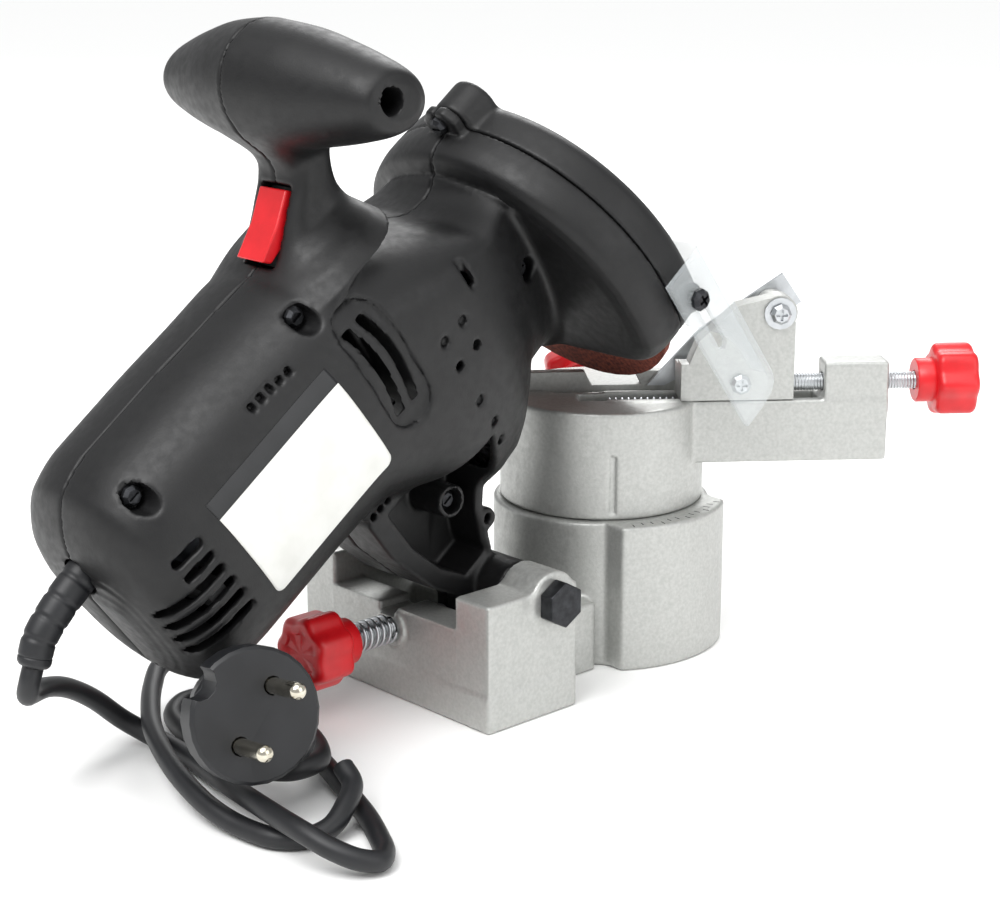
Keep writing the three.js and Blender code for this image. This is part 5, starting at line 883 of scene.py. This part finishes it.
# A drum with a flat-sided boss for the scale, a bridge, and a hollow block with two walls and two ears
# for the hinge bolt, all merged; then what is hollow is taken away, and all is cut off at the bench.
def baseField(x, y, z):
    b = baseSettings
    upDrum, depth = (0, b["drumTop"]), (b["blockRear"], b["blockFront"])
    wallSpan = (-b["wallHalf"], b["wallHalf"])
    dial = np.maximum(rodField(x, y, z, b["dial"], upDrum, b["ease"]), np.abs(x) - b["dialHalf"])
    whole = merged(rodField(x, y, z, b["drum"], upDrum, b["ease"]), np.maximum(dial, y), b["ease"])
    bridge = boxField(((b["blockFront"] - 1, b["bridgeReach"]), (-b["bridgeHalf"], b["bridgeHalf"]),
                       (0, b["bridgeTop"])), b["ease"], x, y, z)
    whole = merged(whole, bridge, b["bridgeFillet"])
    block = boxField((depth, (-b["half"], b["half"]), (0, b["floorTop"])), b["ease"], x, y, z)
    ears = boxField((depth, (b["earInner"], b["half"]), (0, b["earTop"])), b["ease"], x, np.abs(y), z)
    hingeX, hingeZ = b["hinge"]
    bosses = rodField(x - hingeX, z - hingeZ, np.abs(y), b["boss"], (b["earInner"], b["half"]), 0.6)
    block = merged(block, merged(ears, bosses, b["bossFillet"]), b["blockFillet"])
    for more in (
            boxField(((b["blockRear"], b["wallFront"]), wallSpan, (0, b["wallTop"])), b["ease"], x, y, z),
            boxField(((b["blockFront"] - b["frontWall"], b["blockFront"]), wallSpan, (0, b["bridgeTop"])),
                     0.6, x, y, z),
            rodField(y, z - b["screwHeight"], x, b["screwBoss"], b["screwBossSpan"])):
        block = merged(block, more, 1)
    whole = merged(whole, block, b["blockFillet"])
    reach = np.hypot(x, y)
    for less in (
            np.maximum(reach - b["hollow"], z - b["floor"][0]),
            np.maximum(reach - b["socket"], b["floor"][1] - z),
            reach - b["swivelHole"] + 0 * z,
            np.hypot(x - hingeX, z - hingeZ) - b["hingeBore"] + 0 * y,
            np.maximum(np.hypot(y, z - b["screwHeight"]) - b["screwHole"], x - b["wallFront"] - 1),
            boxField(((b["blockRear"] - 3, b["wallFront"] + 1), b["notch"], b["notchSpan"]), 0.3, x, y, z),
            boxField(((b["blockRear"] + b["wall"], b["blockFront"] - b["wall"]),
                      (b["wall"] - b["half"], b["half"] - b["wall"]), b["under"]), 0.5, x, y, z)):
        whole = without(whole, less, b["cutEase"])
    return np.maximum(whole, -z)


# A round table on a spigot with a rail and its end block beside it, all merged; then the bolt's hole,
# the carriage's channel, the sight hole, the chain's slot and recess, the jaw's pocket, the pointer's
# groove and the holes for both screws are taken away.
def viseField(x, y, z):
    s = viseSettings
    table, above = s["table"], s["table"] + s["above"]
    sightX, sightY, sightRadius, sightDepth = s["sight"]
    near, start, stop, deep = s["recess"]
    half = (s["slot"][1] - near) / 2
    screwX, screwZ, screwRadius = s["screw"]
    wide, low, high, depth = s["pointer"]
    adjustY, adjustZ, adjustRadius = s["adjuster"]
    left, right, front, back = s["pocket"]
    endRear = s["railEnd"] - s["endLength"]
    whole = rodField(x, y, z, s["radius"], (s["bottom"], table), s["ease"])
    whole = merged(whole, rodField(x, y, z, s["spigot"], (s["spigotBottom"], s["bottom"] + 1)), 0.4)
    rail = boxField(((0, s["railEnd"]), (s["railNear"], s["railFar"]), (s["railBottom"], table)), s["ease"],
                    x, y, z)
    end = boxField(((endRear, s["railEnd"]), (s["railNear"], s["endFar"]),
                    (table - s["endLow"], s["endTop"])), s["ease"], x, y, z)
    whole = merged(merged(whole, rail, 1.2), end, 1)
    for less in (
            np.maximum(np.hypot(x, y) - s["bolt"], z - s["boltTop"]),
            boxField((s["channelSpan"], s["channel"], (s["channelFloor"], above)), 0.3, x, y, z),
            np.maximum(np.hypot(x - sightX, y - sightY) - sightRadius, table - sightDepth - z),
            boxField((s["slotSpan"], s["slot"], (s["slotFloor"], above)), 0.2, x, y, z),
            np.maximum(slotField(x, y, (start, near + half), (stop, near + half), half), table - deep - z),
            boxField(((left, right), (front, back), (s["pocketFloor"], above)), 0.2, x, y, z),
            np.maximum(np.hypot(x - screwX, z - screwZ) - screwRadius, back - 1 - y),
            boxField(((-wide / 2, wide / 2), (-s["radius"] - 1, depth - s["radius"]), (low, high)), 0.1,
                     x, y, z),
            np.maximum(np.hypot(y - adjustY, z - adjustZ) - adjustRadius, endRear - 1 - x)):
        whole = without(whole, less, s["cutEase"])
    return whole


# The vise's own places, swung round the drum's axis.
def railToBench(points):
    x, y, z = np.asarray(points, float).T
    turn = viseSettings["turn"]
    return np.stack([x * math.cos(turn) - y * math.sin(turn),
                     x * math.sin(turn) + y * math.cos(turn), z], -1) * mm


castStep = 0.75
base = fieldPiece("base_cast", baseField, baseSettings["spans"], castStep, dieCast, "base")
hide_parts("base_casting")
vise = fieldPiece("vise_cast", viseField, viseSettings["spans"], castStep, dieCast, "vise", railToBench)
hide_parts("vise_body")
print("castings made")

# the hand knobs: seven lobes whose reach falls between them as a cosine, rounded at both faces
knobSettings = {
    "lobes": 7, "dip": 0.12, "neck": 7.5, "neckLength": 6, "headLength": 14, "round": 2.4, "bore": 3.3,
    "around": 168, "bendRings": 7, "dish": (0.62, 0.55, 0.7),
    "knobs": {
        "depth_knob": {"radius": 12.5, "start": (-113.5, 0, 24), "along": (-1, 0, 0), "bore": 12.1,
                       "body": "depth_hand_knob"},
        "clamp_knob": {"radius": 13, "start": (-3, 38.5, 80), "along": (0, 1, 0), "bore": 6.3,
                       "body": "clamp_spindle", "place": railToBench},
        "adjusting_knob": {"radius": 12.5, "start": (105, -14, 92), "along": (1, 0, 0), "bore": 6.3,
                           "body": "adjuster", "place": railToBench},
    },
}


# Rings about an axis: each point lies out along the axis and its reach away from it, at its turn.
def ringsAbout(start, along, reach, out, turn):
    ahead = np.array(along, float)
    side = np.cross(ahead, (0, 0, 1))
    side /= np.linalg.norm(side)
    up = np.cross(ahead, side)
    return (np.array(start) + out[..., None] * ahead
            + (reach * np.cos(turn))[..., None] * side + (reach * np.sin(turn))[..., None] * up)


# From the bore's floor out round the neck and the head: each ring's reach is its share of a lobed
# outline, rounded over a quarter circle at both faces, with a shallow dish in the outer face.
def knobRings(radius, start, along, bore):
    k = knobSettings
    turn = np.linspace(0, 2 * math.pi, k["around"], endpoint=False)
    lobe = 1 - k["dip"] * (0.5 - 0.5 * np.cos(turn * k["lobes"]))
    low, high, soft = k["neckLength"], k["neckLength"] + k["headLength"], k["round"]
    profile = [(0.05, bore, 0), (k["bore"], bore, 0), (k["bore"], 0, 0), (k["neck"] - 0.5, 0, 0),
               (k["neck"], 0.5, 0), (k["neck"], low - 0.3, 0), (k["neck"] + 0.5, low, 0.2)]
    bends = np.linspace(0, math.pi / 2, k["bendRings"])
    profile += [(radius - soft + soft * math.sin(b), low + soft - soft * math.cos(b), 1) for b in bends]
    profile += [(radius - soft + soft * math.cos(b), high - soft + soft * math.sin(b), 1) for b in bends]
    rim, floor, deep = k["dish"]
    profile += [(radius * rim, high, 1), (radius * floor, high - deep, 0.6), (0.05, high - deep, 0)]
    reach, out, lobed = (column[:, None] for column in np.array(profile).T)
    reach = reach * (1 + lobed * (lobe - 1))
    return ringsAbout(start, along, reach, out + 0 * turn, turn)


for name, knob in knobSettings["knobs"].items():
    points, faces = cappedGrid(knobRings(knob["radius"], knob["start"], knob["along"], knob["bore"]))
    points = knob["place"](points) if "place" in knob else points * mm
    piece = newPiece(name + "_form", points, faces, mouldedRed, knob["body"], 45)
    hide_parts(name)

# the plug's pins: round, from inside the plug's face to a domed tip
pinSettings = {
    "around": 32, "radius": 2.4, "length": 19, "root": 3.5, "spacing": 9.5, "domeShare": 0.8, "domeRings": 8,
    "face": (-188.7, -52.6, 35), "along": (-0.22, -0.947, 0.235), "between": (-0.645, -0.04, -0.763),
}
ahead = np.array(pinSettings["along"]) / np.linalg.norm(pinSettings["along"])
aside = np.cross(np.cross(ahead, pinSettings["between"]), ahead)
aside /= np.linalg.norm(aside)
dome = np.linspace(0, math.pi / 2, pinSettings["domeRings"])
domeHeight = pinSettings["radius"] * pinSettings["domeShare"]
tip = pinSettings["length"] - domeHeight
reach = np.concatenate([[0.05, 1, 1], np.cos(dome[:-1]), [0.02]]) * pinSettings["radius"]
out = np.concatenate([[-pinSettings["root"]] * 2, [tip], tip + np.sin(dome) * domeHeight])
turn = np.linspace(0, 2 * math.pi, pinSettings["around"], endpoint=False)
for name, side in (("plug_pin_upper", -1), ("plug_pin_lower", 1)):
    start = np.array(pinSettings["face"]) + side * pinSettings["spacing"] * aside
    points, faces = cappedGrid(ringsAbout(start, ahead, reach[:, None], out[:, None] + 0 * turn, turn))
    piece = newPiece(name + "_form", points * mm, faces, nickelPin, "base", 45)
    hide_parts(name)

# the threaded rods: a thread is a reach that rises and falls once for each turn and each pitch
rodSettings = {
    "radius": 3, "around": 24, "pitch": 1, "threadDepth": 0.34, "perPitch": 6, "chamfer": 0.8,
    "endShare": 0.84,
    "rods": {
        "depth_screw": {"start": (-125.3, 0, 24), "along": (1, 0, 0), "length": 52, "body": "depth_stop"},
        "clamp_screw": {"start": (-3, 5.2, 80), "along": (0, 1, 0), "length": 39.3, "body": "clamp_spindle",
                        "place": railToBench},
        "adjusting_screw": {"start": (51, -14, 92), "along": (1, 0, 0), "length": 60, "body": "adjuster",
                            "place": railToBench},
    },
}


# Each ring's reach is the rod's radius less the thread's depth times a cosine wave that moves on by one
# turn with each pitch, and the ends narrow over the chamfer.
def threadRings(start, along, length):
    r = rodSettings
    turn = np.linspace(0, 2 * math.pi, r["around"], endpoint=False)
    out = np.linspace(0, length, int(length / r["pitch"] * r["perPitch"]))[:, None]
    wave = 0.5 - 0.5 * np.cos(2 * math.pi * out / r["pitch"] - turn)
    chamfer = np.clip(np.minimum(out, length - out) / r["chamfer"], 0, 1)
    reach = (r["radius"] - r["threadDepth"] * wave) * (r["endShare"] + (1 - r["endShare"]) * chamfer)
    return ringsAbout(start, along, reach, out + 0 * turn, turn)


for name, rodShape in rodSettings["rods"].items():
    points, faces = cappedGrid(threadRings(rodShape["start"], rodShape["along"], rodShape["length"]))
    points = rodShape["place"](points) if "place" in rodShape else points * mm
    piece = newPiece(name + "_form", points, faces, zincSteel, rodShape["body"], 60)
    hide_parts(name)

# the coil springs: a round wire carried along a helix, with so many steps to a turn and sides to the wire
springSteps, wireSides = 32, 12
springSettings = {
    "depth_spring": {"radius": 4.4, "turns": 6, "wire": 0.6, "from": -113.2, "to": -96.8, "centre": (0, 24),
                     "body": "depth_stop"},
    "stop_spring": {"radius": 2.5, "turns": 11, "wire": 0.5, "from": 0.3, "to": 25.2,
                    "centre": (-10.5, 83.6), "body": "carriage", "place": railToBench},
}
for name, coil in springSettings.items():
    share = np.linspace(0, 1, coil["turns"] * springSteps + 1)
    angle = share * coil["turns"] * 2 * math.pi
    along = coil["from"] + coil["wire"] + share * (coil["to"] - coil["from"] - 2 * coil["wire"])
    helix = np.stack([along, coil["centre"][0] - coil["radius"] * np.cos(angle),
                      coil["centre"][1] + coil["radius"] * np.sin(angle)], -1)
    turn = np.linspace(0, 2 * math.pi, wireSides, endpoint=False)
    section = np.stack([np.cos(turn), np.sin(turn)], -1) * coil["wire"]
    points, faces = cappedGrid(alongPath(helix, [section] * len(helix)))
    points = coil["place"](points) if "place" in coil else points * mm
    piece = newPiece(name + "_form", points, faces, zincSteel, coil["body"], 60)
    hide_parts(name)
print("knobs, screws and springs made")

# the strain relief: a round sleeve that tapers along its bend. Its grooves are the tops of a cosine wave
# over the middle of its length, and its tip narrows as the square of the way through the last of it
reliefSettings = {
    "line": [(-199, 0, 76.2), (-204, 0, 72.4), (-211.8, 0, 66.2), (-219, 0, 59.3), (-224.6, 0, 52.2),
             (-227, 0, 45)],
    "perSpan": 24, "sides": 28, "root": 5.6, "tip": 4.9, "grooves": 7.5, "groove": 0.35, "grooveTop": 0.6,
    "grooved": (0.3, 0.93), "tipFrom": 0.96, "tipDrop": 0.8,
}
r = reliefSettings
line = throughPoints(r["line"], r["perSpan"])
share = np.linspace(0, 1, len(line))
wave = np.clip(np.cos(share * 2 * math.pi * r["grooves"]) - r["grooveTop"], 0, 1) / (1 - r["grooveTop"])
reach = r["root"] + (r["tip"] - r["root"]) * share
reach = reach - r["groove"] * wave * (share > r["grooved"][0]) * (share < r["grooved"][1])
reach = reach - r["tipDrop"] * np.clip((share - r["tipFrom"]) / (1 - r["tipFrom"]), 0, 1) ** 2
turn = np.linspace(0, 2 * math.pi, r["sides"], endpoint=False)
circle = np.stack([np.cos(turn), np.sin(turn)], -1)
points, faces = cappedGrid(alongPath(line, [circle * size for size in reach]))
sleeve = newPiece("strain_relief_form", points * mm, faces, softPvc, "head", 50)
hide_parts("strain_relief")

# the rating label: bare, off-white, with a dark band along its upper edge; it lies on the right flank
labelSettings = {
    "rear": -153, "front": -99.9, "low": 24.6, "high": 58.6, "bandGap": 0.05, "band": 64.2, "corner": 3,
    "proud": 0.12, "thick": 0.1, "rows": 40, "columns": 60,
}


# How far across the right flank's skin lies: the body's oval solved for its width at each height.
def flankSkin(u, w):
    h = housingSettings
    low, high, width, power = bodyShares(u)
    rise = w - h["axis"]
    tall = h["halfHeight"] * np.where(rise > 0, high, low)
    power = np.where(rise > 0, h["topPower"], power)
    return -h["halfWidth"] * width * (1 - np.abs(rise / tall) ** power) ** (1 / power)


# A thin sheet that follows the flank. Towards a rounded low edge its rows draw in as a quarter circle.
def flankSheet(name, low, high, roundLow, material):
    s = labelSettings
    corner = s["corner"]
    w = low + (high - low) * (0.5 - 0.5 * np.cos(np.linspace(0, math.pi, s["rows"])))[:, None]
    depth = np.clip(w - low, 0, corner) if roundLow else np.full_like(w, corner)
    drawn = corner - np.sqrt(np.maximum(corner ** 2 - (corner - depth) ** 2, 0))
    start, end = s["rear"] + drawn, s["front"] - drawn
    u = start + (end - start) * np.linspace(0, 1, s["columns"])[None, :]
    v = flankSkin(u, w + 0 * u) - s["proud"]
    points = headToBench(np.stack([u, v, w + 0 * u], -1).reshape(-1, 3))
    piece = newPiece(name, points, gridFaces(s["rows"], s["columns"], False), material, "head", 60)
    sheet = piece.modifiers.new("thickness", "SOLIDIFY")
    sheet.thickness = s["thick"] * mm
    sheet.offset = 0


# Printed vinyl: off-white, satin, a little uneven where the glue lies.
labelVinyl = finish("printedVinyl", {"Roughness": 0.42}, (6, 0.03), (12, "#dcdcd7", "#e7e7e3"))
# The same vinyl under black ink: dark and slightly glossier.
inkedVinyl = finish("inkedVinyl", {"Roughness": 0.36}, (6, 0.03), (12, "#17181a", "#1e1f21"))
flankSheet("rating_label", labelSettings["low"], labelSettings["high"], True, labelVinyl)
flankSheet("rating_label_band", labelSettings["high"] + labelSettings["bandGap"], labelSettings["band"],
           False, inkedVinyl)

# the scale of angles on the base's boss: a tick every five degrees, and a longer one every fifteen
scaleSettings = {"top": 50.21, "step": 5, "longStep": 15, "most": 30, "long": 42, "short": 40.6,
                 "length": 2.2, "half": 0.16, "height": 0.1}
# Marking ink: dark grey, matt, a little patchy.
markingInk = finish("markingInk", {"Roughness": 0.7}, (1, 0.01), (3, "#2c2d2e", "#3b3c3e"))
t = scaleSettings
points, faces = [], []
for degree in range(-t["most"], t["most"] + 1, t["step"]):
    angle = math.radians(degree - 90)
    outward = np.array([math.cos(angle), math.sin(angle), 0])
    across = np.array([-math.sin(angle), math.cos(angle), 0])
    far = t["long"] if degree % t["longStep"] == 0 else t["short"]
    near = far - t["length"]
    corners = [outward * out + across * aside for out, aside in (
        (near, -t["half"]), (far, -t["half"]), (far, t["half"]), (near, t["half"]))]
    first = len(points)
    points += [corner + (0, 0, t["top"] + rise) for rise in (0, t["height"]) for corner in corners]
    for quad in ((3, 2, 1, 0), (4, 5, 6, 7), (0, 1, 5, 4), (1, 2, 6, 5), (2, 3, 7, 6), (3, 0, 4, 7)):
        faces.append([first + k for k in quad])
newPiece("scale_ticks", np.array(points) * mm, faces, markingInk, "base", 30)
print("label and scale made")

# every CAD node takes its finish
for name, node in frame["nodes"].items():
    material = slotMaterials[nodeSlot[name]]
    if not node.data.materials:
        node.data.materials.append(material)
    for holder in node.material_slots:
        holder.material = material

# each node that nothing else stands for is shown by a copy with its points merged and some edges rounded
copySettings = {"merge": 0.01, "flat": 0.5, "sharp": 32, "segments": 2}


# A copy of a CAD node with equal points merged and flat faces joined. Its edges are rounded by edge mm.
def softCopy(name, edge):
    c, source = copySettings, frame["nodes"][name]
    mesh = source.data.copy()
    work = bmesh.new()
    work.from_mesh(mesh)
    bmesh.ops.remove_doubles(work, verts=work.verts, dist=c["merge"] * mm)
    bmesh.ops.dissolve_limit(work, angle_limit=math.radians(c["flat"]), verts=work.verts, edges=work.edges)
    work.to_mesh(mesh)
    work.free()
    shadeSmooth(mesh, c["sharp"])
    piece = bpy.data.objects.new(name + "_form", mesh)
    bpy.context.scene.collection.objects.link(piece)
    if edge:
        bevel = piece.modifiers.new("edges", "BEVEL")
        bevel.width = edge * mm
        bevel.segments = c["segments"]
        bevel.limit_method = "ANGLE"
        bevel.angle_limit = math.radians(c["sharp"])
    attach(piece, source["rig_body"])
    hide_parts(name)


madeAnew = {"cord_lead", "cord_coil", "cord_tail", "housing_right", "housing_left", "wheel_cover",
            "base_casting", "vise_body", "strain_relief", "plug_pin_upper", "plug_pin_lower",
            *knobSettings["knobs"], *rodSettings["rods"], *springSettings}
edgeSizes = {"plug": 0.7, "clamp_plate": 0.35, "chain_carriage": 0.6, "stop_pawl": 0.3, "rocker": 0.6,
             "switch_body": 0.3, "hinge_bolt": 0.4, "hinge_nut": 0.4, "swivel_bolt": 0.4}
for name in frame["nodes"]:
    if name not in madeAnew:
        softCopy(name, edgeSizes.get(name, 0))

print("forms copied")

# the floor, pale and matt, reaches past the edge of every view
floorSettings = {"half": 8}
half = floorSettings["half"]
corners = [(x * half, y * half, 0) for x, y in ((-1, -1), (1, -1), (1, 1), (-1, 1))]
floorMesh = bpy.data.meshes.new("floor")
floorMesh.from_pydata(corners, [], [(0, 1, 2, 3)])
# Painted board: near-white, matt, faintly uneven.
floorFinish, tree, surface, place = newMaterial(
    "paleFloor", {"Roughness": 0.9, "Base Color": hexColour("#fbfbfa")})
grainBump(tree, surface, place, 4, 0.01)
floorMesh.materials.append(floorFinish)
floor = bpy.data.objects.new("floor", floorMesh)
bpy.context.scene.collection.objects.link(floor)

# light: a pale room, three soft boxes aimed at the sharpener, and a wide, even ceiling, which keeps the
# floor pale to its far edge
lightSettings = {
    "room": ("#f5f6f7", 0.62),
    "aim": (-0.08, 0, 0.1),
    "boxes": {
        "key": {"place": (-1, -0.2, 1.2), "size": 0.8, "power": 12},
        "fill": {"place": (0.2, -1.4, 0.7), "size": 1.1, "power": 6},
        "rim": {"place": (0.9, 0.8, 1.1), "size": 0.8, "power": 10},
    },
    "ceiling": {"power": 1.5, "spread": 60, "turn": (12, -18, 0)},
}
world = bpy.data.worlds.new("studio")
world.use_nodes = True
background = world.node_tree.nodes["Background"]
background.inputs["Color"].default_value = hexColour(lightSettings["room"][0])
background.inputs["Strength"].default_value = lightSettings["room"][1]
bpy.context.scene.world = world
for name, light in lightSettings["boxes"].items():
    lamp = bpy.data.lights.new(name, "AREA")
    lamp.energy = light["power"]
    lamp.size = light["size"]
    holder = bpy.data.objects.new(name, lamp)
    holder.location = light["place"]
    aim = Vector(lightSettings["aim"]) - Vector(light["place"])
    holder.rotation_euler = aim.to_track_quat("-Z", "Y").to_euler()
    bpy.context.scene.collection.objects.link(holder)
sun = bpy.data.lights.new("ceiling", "SUN")
sun.energy = lightSettings["ceiling"]["power"]
sun.angle = math.radians(lightSettings["ceiling"]["spread"])
ceiling = bpy.data.objects.new("ceiling", sun)
ceiling.rotation_euler = [math.radians(degrees) for degrees in lightSettings["ceiling"]["turn"]]
bpy.context.scene.collection.objects.link(ceiling)
bpy.context.scene.view_settings.view_transform = "Standard"
print("floor and light set")
